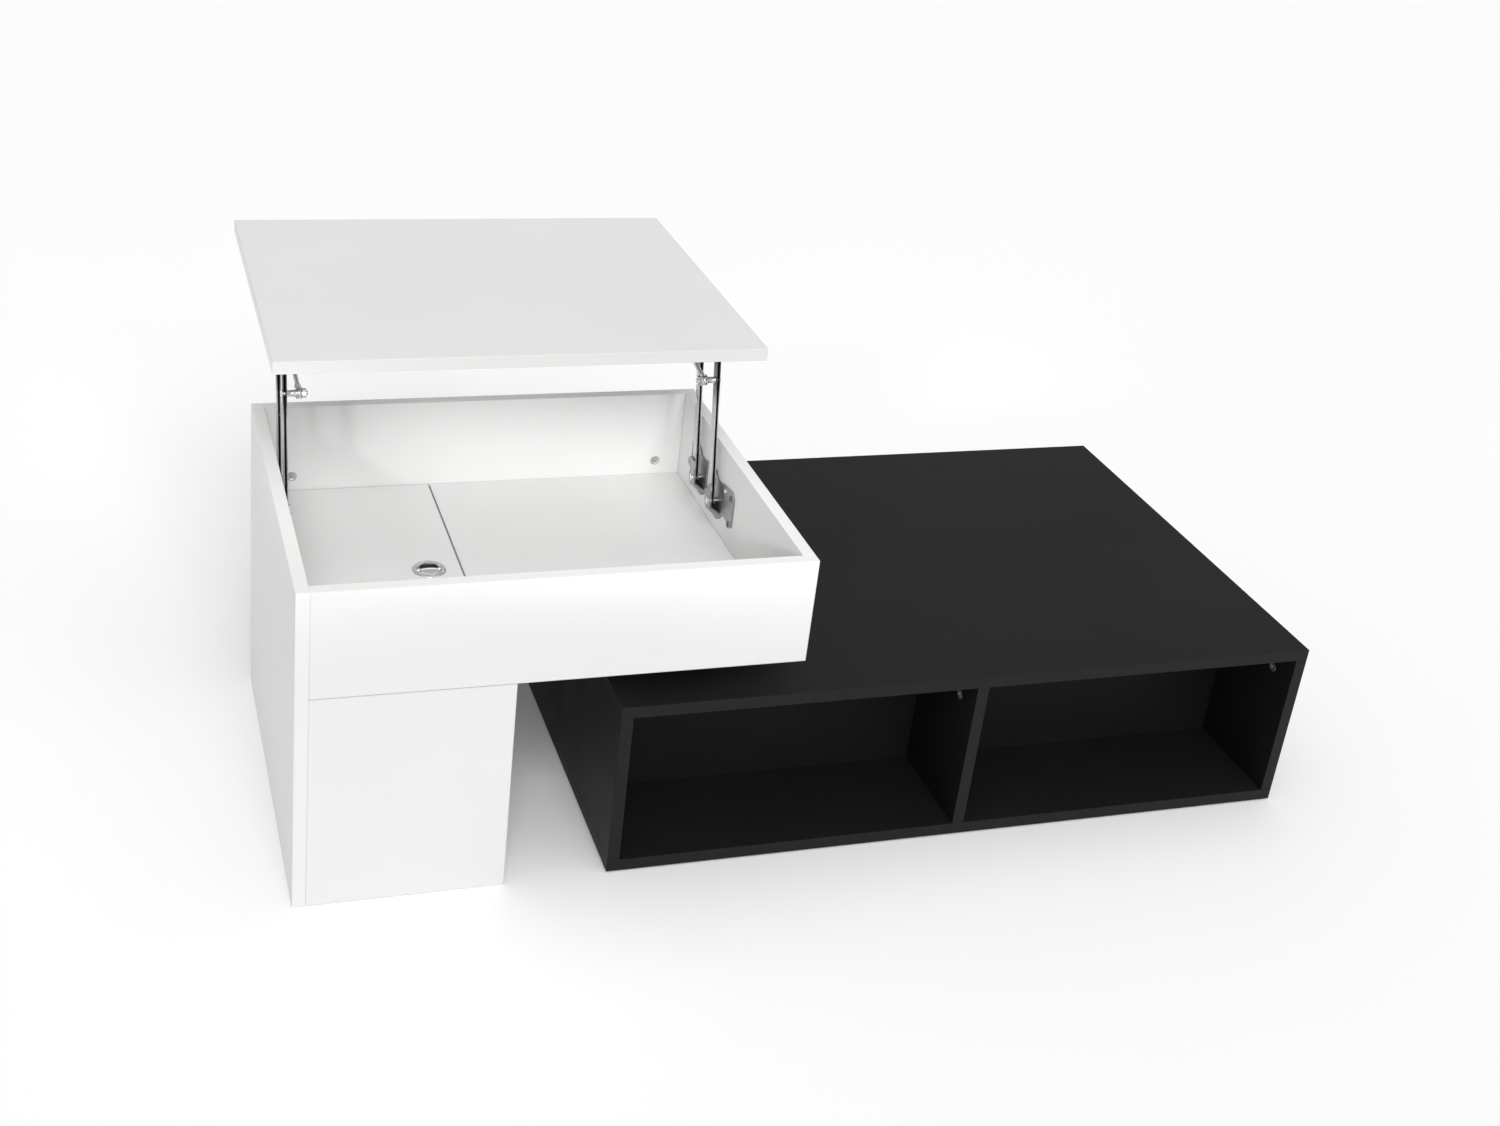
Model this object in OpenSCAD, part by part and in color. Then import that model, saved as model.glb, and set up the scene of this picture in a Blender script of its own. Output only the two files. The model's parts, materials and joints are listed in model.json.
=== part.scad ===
// Lift top coffee table: a white cabinet with a raised tray and a column, over a black open cabinet.
// The lid rides on two parallel arms at each side and is held up by gas struts.
// Origin: centre of the column's footprint, at floor level. +X runs along the table, +Z is up.

/* [Boards] */
// Thickness of the white boards
board_t = 15; // [14:1:18]
// Thickness of the black boards
low_board_t = 15; // [14:1:18]
// Height of the floor glides under the low cabinet
glide_t = 2; // [1:0.5:4]
// Shadow gap between the tray's front and the column's front
seam_gap = 0.6; // [0.2:0.1:1.5]

/* [White cabinet] */
// Length of the tray, along X
tray_w = 580; // [540:10:680]
// Depth of the tray, along Y
tray_d = 475; // [460:5:540]
// Height of the tray's rim above the floor
rim_h = 405; // [395:5:440]
// Outside height of the tray's walls
tray_h = 131; // [125:1:150]
// Width of the column that carries the tray's left end
column_w = 242; // [220:2:280]
// Gap between the hatch and the fixed floor of the tray
hatch_gap = 2; // [1:0.5:4]

/* [Low cabinet] */
// Length of the low cabinet, along X
low_w = 905; // [800:5:1000]
// Depth of the low cabinet, along Y
low_d = 600; // [540:10:640]
// Height of the low cabinet's top above the floor
low_h = 230; // [200:5:240]
// Distance between the column and the low cabinet as it stands
low_out = 123; // [60:1:200]
// Depth of the two compartments at the front
cubby_d = 145; // [120:5:200]

/* [Lift] */
// Distance between the two pivots of an arm
arm_len = 200; // [180:1:220]
// Lean of the raised arms from upright, to the back
arm_lean = 10.6; // [6:0.2:14]
// Distance from the tray's front face to the front arm's lower pivot
pivot_setback = 299; // [290:1:320]
// Distance between the front arm's pivot and the rear arm's pivot
pivot_pitch = 67; // [64:1:80]
// Height of the lower pivots above the tray's floor
pivot_rise = 40; // [36:1:48]
// Depth of the upper pivots below the lid
pivot_drop = 24.6; // [22:0.2:28]
// Width of an arm, across its channel
arm_w = 5; // [4:0.5:7]
// Depth of an arm's channel
arm_d = 13; // [11:0.5:15]
// Sheet thickness of the arms
arm_t = 1.2; // [1:0.1:1.4]
// Sheet thickness of the brackets
bracket_t = 2; // [1.5:0.1:2.5]
// Radius of the rivets that the arms turn on
rivet_r = 3; // [2.5:0.1:3.5]

/* [Gas struts] */
// Distance of the strut's bolt along the front arm, from the lower pivot
bolt_along = 157; // [150:1:165]
// Distance of a strut's centre line from the tray's wall
strut_x = 26; // [25:0.5:34]
// Distance of the strut's rear pin behind the front upper pivot
strut_reach = 189; // [180:1:210]
// Radius of the strut's cylinder
strut_r = 7.5; // [6.5:0.5:8]
// Radius of the strut's rod
rod_r = 3; // [2.5:0.1:3.5]
// Length of the strut's cylinder
strut_len = 114; // [104:1:118]

/* [Ring pull] */
// Outer radius of the ring pull's flange
ring_r = 21; // [18:0.5:26]
// Distance from the ring pull's centre to the hatch's free edge
ring_inset = 38; // [32:1:60]
// Depth of the ring pull's cup below the hatch's face
cup_depth = 9; // [7:0.5:11]

/* [Fittings] */
// Radius of the cam locks
cam_r = 6; // [5:0.5:7.5]
// Distance of a cam lock's centre from its board's end
cam_inset = 34; // [24:1:40]
// Radius of the wooden dowels
dowel_r = 4; // [3:0.5:5]
// Radius of the feet between the tray and the low cabinet
foot_r = 22; // [15:1:30]

/* [Hidden] */
$fn = 64;

LEFT = -1;
RIGHT = 1;
SIDES = [LEFT, RIGHT];
EPS = 0.01;
RUN_GAP = 0.05;   // radial clearance of a running fit
PART_GAP = 0.3;   // clearance between pieces that pass each other
CUT = 1;          // how far a cutting tool runs past the face that it opens

// --- White cabinet: outer faces and levels
left_x = -column_w / 2;
right_x = left_x + tray_w;
front_y = -tray_d / 2;
back_y = front_y + tray_d;
column_x = left_x + column_w;
tray_z = rim_h - tray_h;
floor_z = tray_z + board_t;
left_wall_x = left_x + board_t;
right_wall_x = right_x - board_t;
in_front_y = front_y + board_t;
in_back_y = back_y - board_t;
floor_overhang = 1;
floor_x = column_x - board_t - floor_overhang;
hatch_x0 = left_wall_x + hatch_gap / 2;
hatch_x1 = floor_x - hatch_gap;
hatch_y0 = in_front_y + hatch_gap / 2;
hatch_y1 = in_back_y - hatch_gap / 2;
cleat = 15;

// --- Low cabinet: outer faces and levels
low_x0 = column_x + low_out;
low_x1 = low_x0 + low_w;
low_y0 = front_y;
low_y1 = low_y0 + low_d;
low_in_z0 = glide_t + low_board_t;
low_in_z1 = low_h - low_board_t;
divider_x = (low_x0 + low_x1) / 2;
divider_x0 = divider_x - low_board_t / 2;
divider_x1 = divider_x + low_board_t / 2;

// --- Lift: angles measured from +Y towards +Z
pivot_y = front_y + pivot_setback;
pivot_z = floor_z + pivot_rise;
raised_angle = 90 - arm_lean;
closed_angle = 180 - asin((rim_h - pivot_drop - pivot_z) / arm_len);
arm_x0 = 6.5;
arm_x1 = arm_x0 + arm_w;
arm_end_r = arm_d / 2;
cheek_gap = 0.5;
cheek_x = arm_x1 + cheek_gap;
top_y = pivot_y + arm_len * cos(raised_angle);
top_z = pivot_z + arm_len * sin(raised_angle);
lid_z = top_z + pivot_drop;
lid_dy = arm_len * (cos(raised_angle) - cos(closed_angle));
stud_along = 103;
stud_r = 2.5;

// --- Gas struts
strut_drop = 5;
bolt_y = pivot_y + bolt_along * cos(raised_angle);
bolt_z = pivot_z + bolt_along * sin(raised_angle);
strut_pin_y = top_y + strut_reach;
strut_pin_z = top_z - strut_drop;
strut_span = norm([strut_pin_y - bolt_y, strut_pin_z - bolt_z]);
strut_angle = atan2(strut_pin_z - bolt_z, strut_pin_y - bolt_y);
eye_w = 4;
rear_eye_w = 7;
eye_r = 6.5;
tongue_len = 11;
neck_len = 16;
neck_more = 0.2;
mouth_s = strut_span - neck_len - strut_len;
cap_len = 8;
piston_len = 8;
strut_wall = 1.5;
bolt_head_t = 2;
washer_t = 1.2;
washer_r = 7;
spacer_r = 4.5;
nut_t = 5;
nut_r = 5.8;
fork_x0 = strut_x - rear_eye_w / 2 - PART_GAP - bracket_t;
fork_x1 = strut_x + rear_eye_w / 2 + PART_GAP;

// --- Brackets
base_reach_front = 60;
base_reach_rear = 42;
base_top_z = pivot_z + 37;
base_foot_z = pivot_z - 17;
base_front_y = pivot_y - base_reach_front;
base_rear_y = pivot_y + pivot_pitch + base_reach_rear;
cheek_top = 24;
cheek_reach = 10;
cheek_front_reach = 6;
cheek_bump_reach = 19;
pocket_r = 24;
boss_r = 10.5;
plate_y0 = top_y - 22;
plate_y1 = strut_pin_y + 22;
plate_x0 = 4;
plate_x1 = 46;
lobe_r = 11;
screw_r = 2;
screw_head_r = 4;
screw_head_t = 1.6;
screw_len = 11;

// --- Ring pull
ring_x = hatch_x1 - ring_inset;
ring_y = (front_y + back_y) / 2;
ring_flange_t = 1.2;
cup_r = 15.5;
cup_wall = 1;
recess_r = 12.3;
seat_y = 2.8;
bail_r = 14.2;
bail_t = 2.4;
bail_arch = 3.5;
bail_lip = 2.2;
bail_ear = 4;
bail_ear_r = 2.2;
bail_pin_r = 1.2;
bail_z = floor_z - 1;
ring_pin_end = cup_r + cup_wall - 0.2;
ring_screw_x = 7.5;
ring_screw_inset = 5;
ring_screw_r = 1.4;
ring_screw_len = 5.5;

// --- Feet between the tray and the low cabinet
foot_pad_t = 3;
foot_inset_x = 60;
foot_inset = 110;
foot_x = right_x - foot_inset_x;
foot_ys = [front_y + foot_inset, back_y - foot_inset];
foot_gap = 0.2;
foot_h = tray_z - low_h - foot_gap - foot_pad_t;

// Fixing places: position, turn that brings Z out of the board's face and X to the board's end
FACE_BACK_TO_RIGHT = [90, 0, 0];
FACE_BACK_TO_LEFT = [90, 180, 0];
FACE_FRONT_TO_LEFT = [90, 0, 180];
FACE_RIGHT_TO_FRONT = [90, 0, -90];
FACE_RIGHT_TO_BACK = [-90, 0, 90];
FACE_LEFT_TO_TOP = [180, -90, 0];
FACE_RIGHT_TO_TOP = [0, -90, 0];

cam_z = tray_z + cam_inset;
column_cam_inset = 60;
column_cam_zs = [column_cam_inset, tray_z - column_cam_inset];

white_cams = concat(
  [
    [[right_wall_x - cam_inset, in_back_y, cam_z], FACE_BACK_TO_RIGHT],
    [[left_wall_x + cam_inset, in_back_y, cam_z], FACE_BACK_TO_LEFT],
    [[left_wall_x + cam_inset, in_front_y, cam_z], FACE_FRONT_TO_LEFT],
    [[right_wall_x, in_front_y + cam_inset, cam_z], FACE_RIGHT_TO_FRONT]
  ],
  [for (z = column_cam_zs) [[left_wall_x + cam_inset, in_front_y, z], FACE_FRONT_TO_LEFT]],
  [for (z = column_cam_zs) [[left_wall_x + cam_inset, in_back_y, z], FACE_BACK_TO_LEFT]],
  [for (z = column_cam_zs) [[column_x - board_t, in_front_y + cam_inset, z], FACE_RIGHT_TO_FRONT]],
  [for (z = column_cam_zs) [[column_x - board_t, in_back_y - cam_inset, z], FACE_RIGHT_TO_BACK]]
);

low_fix_inset = 40;
low_fix_ys = [low_y0 + low_fix_inset, low_y1 - low_fix_inset];
low_cam_z = low_in_z1 - cam_inset;
low_cams = concat(
  [for (y = low_fix_ys) [[low_x0 + low_board_t, y, low_cam_z], FACE_LEFT_TO_TOP]],
  [for (y = low_fix_ys) [[divider_x0, y, low_cam_z], FACE_RIGHT_TO_TOP]],
  [for (y = low_fix_ys) [[low_x1 - low_board_t, y, low_cam_z], FACE_RIGHT_TO_TOP]]
);

// Dowels: place of the board joint and the turn that brings Z along the dowel
dowel_half = 10;
dowel_inset = 80;
floor_dowel_inset = 60;
low_dowel_inset = 90;
rim_dowel_drop = 30;
ALONG_X = [0, 90, 0];
ALONG_Y = [90, 0, 0];
ALONG_Z = [0, 0, 0];
white_dowel_places = concat(
  [for (y = [in_front_y + dowel_inset, in_back_y - dowel_inset])
    [[right_wall_x, y, tray_z + board_t / 2], ALONG_X]],
  [for (y = [front_y, back_y - board_t])
    [[left_wall_x, y + board_t / 2, rim_h - rim_dowel_drop], ALONG_X]],
  [[[right_x - board_t / 2, in_front_y, rim_h - rim_dowel_drop], ALONG_Y]],
  [for (x = [floor_x + floor_dowel_inset, right_wall_x - dowel_inset], y = [in_front_y, in_back_y])
    [[x, y, tray_z + board_t / 2], ALONG_Y]],
  [for (y = [in_front_y + dowel_inset, in_back_y - dowel_inset])
    [[left_wall_x, y, board_t / 2], ALONG_X]]
);
low_upright_xs = [low_x0 + low_board_t / 2, divider_x, low_x1 - low_board_t / 2];
low_dowel_places = [
  for (x = low_upright_xs, y = [low_y0 + low_dowel_inset, low_y1 - low_dowel_inset])
    [[x, y, low_in_z1], ALONG_Z]
];

// --- General shapes

// Box between two opposite corners
module block(low, high) {
  translate(low)
    cube(high - low);
}

// Straight rod along X, from x0 to x1 at a given place in the YZ plane
module rod_x(x0, x1, y, z, r) {
  translate([x0, y, z])
    rotate([0, 90, 0])
      cylinder(r = r, h = x1 - x0);
}

// Puts what is drawn for one side wall on that wall: X is then the distance from the wall's inner face
module on_wall(side) {
  if (side == LEFT)
    translate([left_wall_x, 0, 0])
      children();
  else
    translate([right_wall_x, 0, 0])
      mirror([1, 0, 0])
        children();
}

module at_places(places) {
  for (p = places)
    translate(p[0])
      rotate(p[1])
        children();
}

// --- Board fittings

cam_depth = 10;
cam_bolt_r = 3;
cam_bolt_hold = 8;

module cam_body() {
  translate([0, 0, -cam_depth])
    cylinder(r = cam_r, h = cam_depth);
}

module cam_lock() {
  slot_w = 1.6;
  slot_len = cam_r * 1.1;
  slot_depth = 2.2;
  difference() {
    cam_body();
    for (turn = [0, 90])
      rotate([0, 0, turn + 20])
        translate([-slot_len / 2, -slot_w / 2, -slot_depth])
          cube([slot_len, slot_w, slot_depth + CUT]);
  }
}

module cam_bolt(thickness) {
  translate([cam_r + PART_GAP, 0, -thickness / 2])
    rotate([0, 90, 0])
      cylinder(r = cam_bolt_r, h = cam_inset + cam_bolt_hold - cam_r - PART_GAP);
}

module cam_cut(thickness) {
  cam_body();
  translate([0, 0, -thickness / 2])
    rotate([0, 90, 0])
      cylinder(r = cam_bolt_r, h = cam_inset + cam_bolt_hold);
}

module dowel() {
  cylinder(r = dowel_r, h = 2 * dowel_half, center = true);
}

// A white board with the holes of every fitting that meets it
module white_board(low, high) {
  color("whitesmoke")
    difference() {
      block(low, high);
      at_places(white_cams)
        cam_cut(board_t);
      at_places(white_dowel_places)
        dowel();
    }
}

// A black board with the holes of every fitting that meets it
module black_board(low, high) {
  color("#222222")
    difference() {
      block(low, high);
      at_places(low_cams)
        cam_cut(low_board_t);
      at_places(low_dowel_places)
        dowel();
      bottom_screw_shanks();
    }
}

// --- White cabinet

module left_end_panel() {
  difference() {
    white_board([left_x, front_y, 0], [left_wall_x, back_y, rim_h]);
    on_wall(LEFT)
      base_screw_shanks();
  }
}

module tray_front_panel() {
  white_board([left_wall_x, front_y, tray_z], [right_x, in_front_y, rim_h]);
}

module tray_right_panel() {
  difference() {
    white_board([right_wall_x, in_front_y, tray_z], [right_x, back_y, rim_h]);
    on_wall(RIGHT)
      base_screw_shanks();
  }
}

module tray_back_panel() {
  white_board([left_wall_x, in_back_y, tray_z], [right_wall_x, back_y, rim_h]);
}

module tray_floor_panel() {
  difference() {
    white_board([floor_x, in_front_y, tray_z], [right_wall_x, in_back_y, floor_z]);
    foot_screw_shanks();
  }
}

module column_front_panel() {
  white_board([left_wall_x, front_y, 0], [column_x, in_front_y, tray_z - seam_gap]);
}

module column_back_panel() {
  white_board([left_wall_x, in_back_y, 0], [column_x, back_y, tray_z - seam_gap]);
}

module column_inner_panel() {
  white_board([column_x - board_t, in_front_y, 0], [column_x, in_back_y, tray_z]);
}

module column_bottom_panel() {
  white_board([left_wall_x, in_front_y, 0], [column_x - board_t, in_back_y, board_t]);
}

module hatch_cleats() {
  color("gainsboro")
    for (y = [in_front_y, in_back_y - cleat])
      difference() {
        block([left_wall_x, y, tray_z - cleat], [column_x - board_t, y + cleat, tray_z]);
        at_places(white_cams)
          cam_cut(board_t);
      }
}

module white_cam_locks() {
  color("silver")
    at_places(white_cams)
      cam_lock();
}

module white_cam_bolts() {
  color("silver")
    at_places(white_cams)
      cam_bolt(board_t);
}

module white_dowels() {
  color("burlywood")
    at_places(white_dowel_places)
      dowel();
}

// --- Feet that carry the tray's right end on the low cabinet

module foot_screw_shanks() {
  for (y = foot_ys)
    translate([foot_x, y, tray_z - foot_h / 2])
      cylinder(r = screw_r, h = foot_h / 2 + 0.75 * board_t);
}

module support_feet() {
  color("whitesmoke")
    difference() {
      for (y = foot_ys)
        translate([foot_x, y, low_h + foot_gap + foot_pad_t])
          cylinder(r = foot_r, h = foot_h);
      foot_screw_shanks();
    }
}

module foot_pads() {
  color("gray")
    for (y = foot_ys)
      translate([foot_x, y, low_h + foot_gap])
        cylinder(r = foot_r - 1, h = foot_pad_t);
}

module foot_screws() {
  color("silver")
    foot_screw_shanks();
}

// --- Low cabinet

module low_top_panel() {
  black_board([low_x0, low_y0, low_in_z1], [low_x1, low_y1, low_h]);
}

module low_bottom_panel() {
  black_board([low_x0, low_y0, glide_t], [low_x1, low_y1, low_in_z0]);
}

module low_left_panel() {
  black_board([low_x0, low_y0, low_in_z0], [low_x0 + low_board_t, low_y1, low_in_z1]);
}

module low_right_panel() {
  black_board([low_x1 - low_board_t, low_y0, low_in_z0], [low_x1, low_y1, low_in_z1]);
}

module low_divider() {
  black_board([divider_x0, low_y0, low_in_z0], [divider_x1, low_y1, low_in_z1]);
}

module low_back(x0, x1) {
  black_board([x0, low_y0 + cubby_d, low_in_z0], [x1, low_y0 + cubby_d + low_board_t, low_in_z1]);
}

module low_back_left() {
  low_back(low_x0 + low_board_t, divider_x0);
}

module low_back_right() {
  low_back(divider_x1, low_x1 - low_board_t);
}

module low_cam_locks() {
  color("silver")
    at_places(low_cams)
      cam_lock();
}

module low_cam_bolts() {
  color("silver")
    at_places(low_cams)
      cam_bolt(low_board_t);
}

module low_dowels() {
  color("burlywood")
    at_places(low_dowel_places)
      dowel();
}

bottom_screw_len = 45;
module bottom_screw_shanks() {
  for (x = low_upright_xs)
    for (y = low_fix_ys)
      translate([x, y, glide_t])
        cylinder(r = screw_r, h = bottom_screw_len);
}

module low_bottom_screws() {
  color("silver")
    bottom_screw_shanks();
}

module low_glides() {
  glide_r = 12;
  edge = 20;
  color("dimgray")
    for (x = [low_x0 + edge, divider_x, low_x1 - edge])
      for (y = [low_y0 + edge, low_y1 - edge])
        translate([x, y, 0])
          cylinder(r = glide_r, h = glide_t);
}

// --- Base brackets, drawn with X as the distance from the wall

base_screw_inset = 10;
base_screw_drop = 10;
base_screw_rise = 8;
base_screw_spots = [
  for (y = [base_front_y + base_screw_inset, base_rear_y - base_screw_inset],
       z = [base_top_z - base_screw_drop, base_foot_z + base_screw_rise])
    [y, z]
];

module base_screw_shanks() {
  for (s = base_screw_spots)
    rod_x(-screw_len, bracket_t, s[0], s[1], screw_r);
}

module base_screw_set() {
  base_screw_shanks();
  for (s = base_screw_spots)
    rod_x(bracket_t, bracket_t + screw_head_t, s[0], s[1], screw_head_r);
}

// Outline of a plate in the YZ plane, given as [y, z] points and drawn from x0 to x1
module yz_plate(x0, x1, points) {
  translate([x0, 0, 0])
    rotate([90, 0, 90])
      linear_extrude(height = x1 - x0)
        polygon(points);
}

// Top edge of a lobe over the pivot at y: it dips there and rises again behind
function lobe_dip(y, depth) = [
  [y + 16, base_top_z - 1],
  [y + 3, base_top_z - depth],
  [y - 8, base_top_z - depth],
  [y - 22, base_top_z - depth / 2]
];

// One tall lobe at the front and one at the rear, each round under its pivot, and a low strip between
module base_plate() {
  corner = 7;
  dip = 8;
  pivot2_y = pivot_y + pivot_pitch;
  tip_z = base_foot_z + 6;
  notch_y = base_front_y + 27;
  lobe_y0 = pivot2_y - 22;
  lobe_y1 = pivot_y + 20;
  strip_z0 = base_foot_z + 4;
  strip_z1 = base_foot_z + 14;
  yz_plate(0, bracket_t, concat(
    [
      [base_front_y, tip_z + corner / 2],
      [base_front_y + corner / 2, tip_z],
      [notch_y, tip_z + corner / 2],
      [pivot_y, base_foot_z],
      [lobe_y1, strip_z0],
      [lobe_y1, base_top_z - corner]
    ],
    lobe_dip(pivot_y, dip),
    [
      [base_front_y + corner, base_top_z],
      [base_front_y, base_top_z - corner]
    ]
  ));
  yz_plate(0, bracket_t, concat(
    [
      [lobe_y0, strip_z0],
      [pivot2_y, base_foot_z],
      [base_rear_y - corner, base_foot_z],
      [base_rear_y, base_foot_z + corner],
      [base_rear_y, base_top_z - corner],
      [base_rear_y - corner, base_top_z]
    ],
    lobe_dip(pivot2_y, dip)
  ));
  block([0, lobe_y1 - EPS, strip_z0], [bracket_t, lobe_y0 + EPS, strip_z1]);
  for (y = [pivot_y, pivot2_y])
    rod_x(0, bracket_t, y, pivot_z, pocket_r);
}

// Sloping wall of a pocket, under the arm's end; its edges end inside the cheek and the plate
module pocket_wall(y) {
  sunk = 0.4;
  wide_r = pocket_r - sunk;
  narrow_r = boss_r - sunk / 2;
  wide = cheek_x + bracket_t - sunk;
  skin = bracket_t / cos(atan2(wide_r - narrow_r, wide - sunk));
  front_turn = -60;
  rear_turn = 75;
  translate([0, y, pivot_z])
    rotate([0, 90, 0])
      rotate([0, 0, front_turn])
        rotate_extrude(angle = rear_turn - front_turn)
          polygon([[wide_r - skin, sunk], [wide_r, sunk], [narrow_r, wide], [narrow_r - skin, wide]]);
}

// Inner cheek of a pocket: round below the pivot, with a bump at the rear above it
module base_cheek(y, reach, bump_reach) {
  front = y - 9;
  rear = y + bump_reach;
  bump_z = pivot_z + 10;
  high_z = pivot_z + cheek_top;
  chamfer = 6;
  neck = boss_r - 4.5;
  rod_x(cheek_x, cheek_x + bracket_t, y, pivot_z, boss_r);
  yz_plate(cheek_x, cheek_x + bracket_t, [
    [y - neck, pivot_z],
    [y + neck, pivot_z],
    [y + reach, bump_z],
    [rear, bump_z + 2],
    [rear, high_z - chamfer],
    [rear - chamfer, high_z],
    [front + chamfer, high_z],
    [front, high_z - chamfer],
    [front, bump_z]
  ]);
}

module base_bracket() {
  color("darkgray")
    difference() {
      union() {
        base_plate();
        for (y = [pivot_y, pivot_y + pivot_pitch])
          pocket_wall(y);
        base_cheek(pivot_y, cheek_front_reach, cheek_front_reach);
        base_cheek(pivot_y + pivot_pitch, cheek_reach, cheek_bump_reach);
      }
      base_rivet_shanks();
      base_screw_shanks();
    }
}

module base_bracket_left() {
  on_wall(LEFT)
    base_bracket();
}

module base_bracket_right() {
  on_wall(RIGHT)
    base_bracket();
}

rivet_head_t = 1.8;
rivet_head_r = 5;

plate_rivet_y = base_front_y + 31;
plate_rivet_z = base_top_z - base_screw_drop;
plate_rivet_r = 1.6;
plate_rivet_head_r = 3.1;

module base_rivet_shanks() {
  for (y = [pivot_y, pivot_y + pivot_pitch])
    rod_x(0, cheek_x + bracket_t, y, pivot_z, rivet_r);
  rod_x(0, bracket_t, plate_rivet_y, plate_rivet_z, plate_rivet_r);
}

// Low domed rivet head of radius r on a face at x, standing out along +X
module rivet_head(x, y, z, r = rivet_head_r) {
  t = rivet_head_t;
  translate([x, y, z])
    rotate([0, 90, 0])
      rotate_extrude()
        polygon([[0, 0], [r, 0], [r * 0.94, t * 0.5], [r * 0.72, t * 0.86], [r * 0.4, t], [0, t]]);
}

module base_rivets() {
  color("silver")
    for (side = SIDES)
      on_wall(side) {
        base_rivet_shanks();
        for (y = [pivot_y, pivot_y + pivot_pitch])
          rivet_head(cheek_x + bracket_t, y, pivot_z);
        rivet_head(bracket_t, plate_rivet_y, plate_rivet_z, plate_rivet_head_r);
      }
}

module base_screws() {
  color("dimgray")
    for (side = SIDES)
      on_wall(side)
        base_screw_set();
}

// --- Arms

// Puts what is drawn along +Z from a pivot on the raised arm's line
module along_arm(y) {
  translate([0, y, pivot_z])
    rotate([-arm_lean, 0, 0])
      children();
}

// Pressed steel channel, open to the front, with round ends; bore at each pivot
module arm_channel() {
  difference() {
    union() {
      block([arm_x0, -arm_end_r, 0], [arm_x1, arm_end_r, arm_len]);
      for (z = [0, arm_len])
        rod_x(arm_x0, arm_x1, 0, z, arm_end_r);
    }
    block([arm_x0 + arm_t, -arm_end_r - CUT, -arm_end_r - CUT],
          [arm_x1 - arm_t, arm_end_r - arm_t, arm_len + arm_end_r + CUT]);
    for (z = [0, arm_len])
      rod_x(arm_x0 - CUT, arm_x1 + CUT, 0, z, rivet_r + RUN_GAP);
  }
}

module front_arm(side) {
  color("silver")
    on_wall(side)
      along_arm(pivot_y)
        difference() {
          arm_channel();
          rod_x(arm_x0 - CUT, arm_x1 + CUT, 0, bolt_along, rod_r);
        }
}

module rear_arm(side) {
  color("silver")
    on_wall(side)
      along_arm(pivot_y + pivot_pitch)
        difference() {
          arm_channel();
          rod_x(arm_x1 - arm_t - CUT, arm_x1 + CUT, 0, stud_along, stud_r);
        }
}

module front_arm_left() {
  front_arm(LEFT);
}

module front_arm_right() {
  front_arm(RIGHT);
}

module rear_arm_left() {
  rear_arm(LEFT);
}

module rear_arm_right() {
  rear_arm(RIGHT);
}

// Stop stud riveted in the inner flange of each rear arm
module arm_studs() {
  tail = 0.6;
  color("silver")
    for (side = SIDES)
      on_wall(side)
        along_arm(pivot_y + pivot_pitch) {
          rivet_head(arm_x1, 0, stud_along);
          rod_x(arm_x1 - arm_t - tail, arm_x1 + EPS, 0, stud_along, stud_r);
        }
}

// --- Bolt that carries the strut's front eye, on the front arm

spacer_x1 = strut_x - eye_w / 2 - PART_GAP - washer_t;
nut_x0 = strut_x + eye_w / 2 + PART_GAP + washer_t;
bolt_tip = 1.5;

module strut_bolts() {
  color("silver")
    for (side = SIDES)
      on_wall(side) {
        rod_x(arm_x0 - bolt_head_t, arm_x0, bolt_y, bolt_z, rivet_head_r);
        rod_x(arm_x0 - EPS, nut_x0 + nut_t + bolt_tip, bolt_y, bolt_z, rod_r);
      }
}

// Ring on the bolt from x0 to x1
module bolt_ring(x0, x1, r) {
  difference() {
    rod_x(x0, x1, bolt_y, bolt_z, r);
    rod_x(x0 - CUT, x1 + CUT, bolt_y, bolt_z, rod_r);
  }
}

module bolt_spacers() {
  color("silver")
    for (side = SIDES)
      on_wall(side)
        bolt_ring(arm_x1, spacer_x1, spacer_r);
}

module bolt_washers() {
  color("silver")
    for (side = SIDES)
      on_wall(side)
        for (x = [spacer_x1, nut_x0 - washer_t])
          bolt_ring(x, x + washer_t, washer_r);
}

module bolt_nuts() {
  color("silver")
    for (side = SIDES)
      on_wall(side)
        difference() {
          translate([nut_x0, bolt_y, bolt_z])
            rotate([0, 90, 0])
              cylinder(r = nut_r, h = nut_t, $fn = 6);
          rod_x(nut_x0 - CUT, nut_x0 + nut_t + CUT, bolt_y, bolt_z, rod_r);
        }
}

// --- Lid and top brackets

// Screws through the top bracket: three in a row along it and two across its rear end
top_screw_inset = 12;
top_screw_x = 30;
top_screw_pitch = 60;
top_screw_len = 11;
rear_screw_inset = 7;
rear_screw_xs = [plate_x0 + 8, plate_x1 - 6];
top_screw_spots = concat(
  [for (n = [0:2]) [plate_y0 + top_screw_inset + n * top_screw_pitch, top_screw_x]],
  [for (x = rear_screw_xs) [plate_y1 - rear_screw_inset, x]]
);

module top_screw_shanks() {
  for (s = top_screw_spots)
    translate([s[1], s[0], lid_z - bracket_t])
      cylinder(r = screw_r, h = top_screw_len + bracket_t);
}

module top_screw_set() {
  top_screw_shanks();
  for (s = top_screw_spots)
    translate([s[1], s[0], lid_z - bracket_t - screw_head_t])
      cylinder(r = screw_head_r, h = screw_head_t);
}

module lid_panel() {
  color("white")
    difference() {
      block([left_x, front_y + lid_dy, lid_z], [right_x, back_y + lid_dy, lid_z + board_t]);
      for (side = SIDES)
        on_wall(side)
          top_screw_shanks();
    }
}

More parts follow.
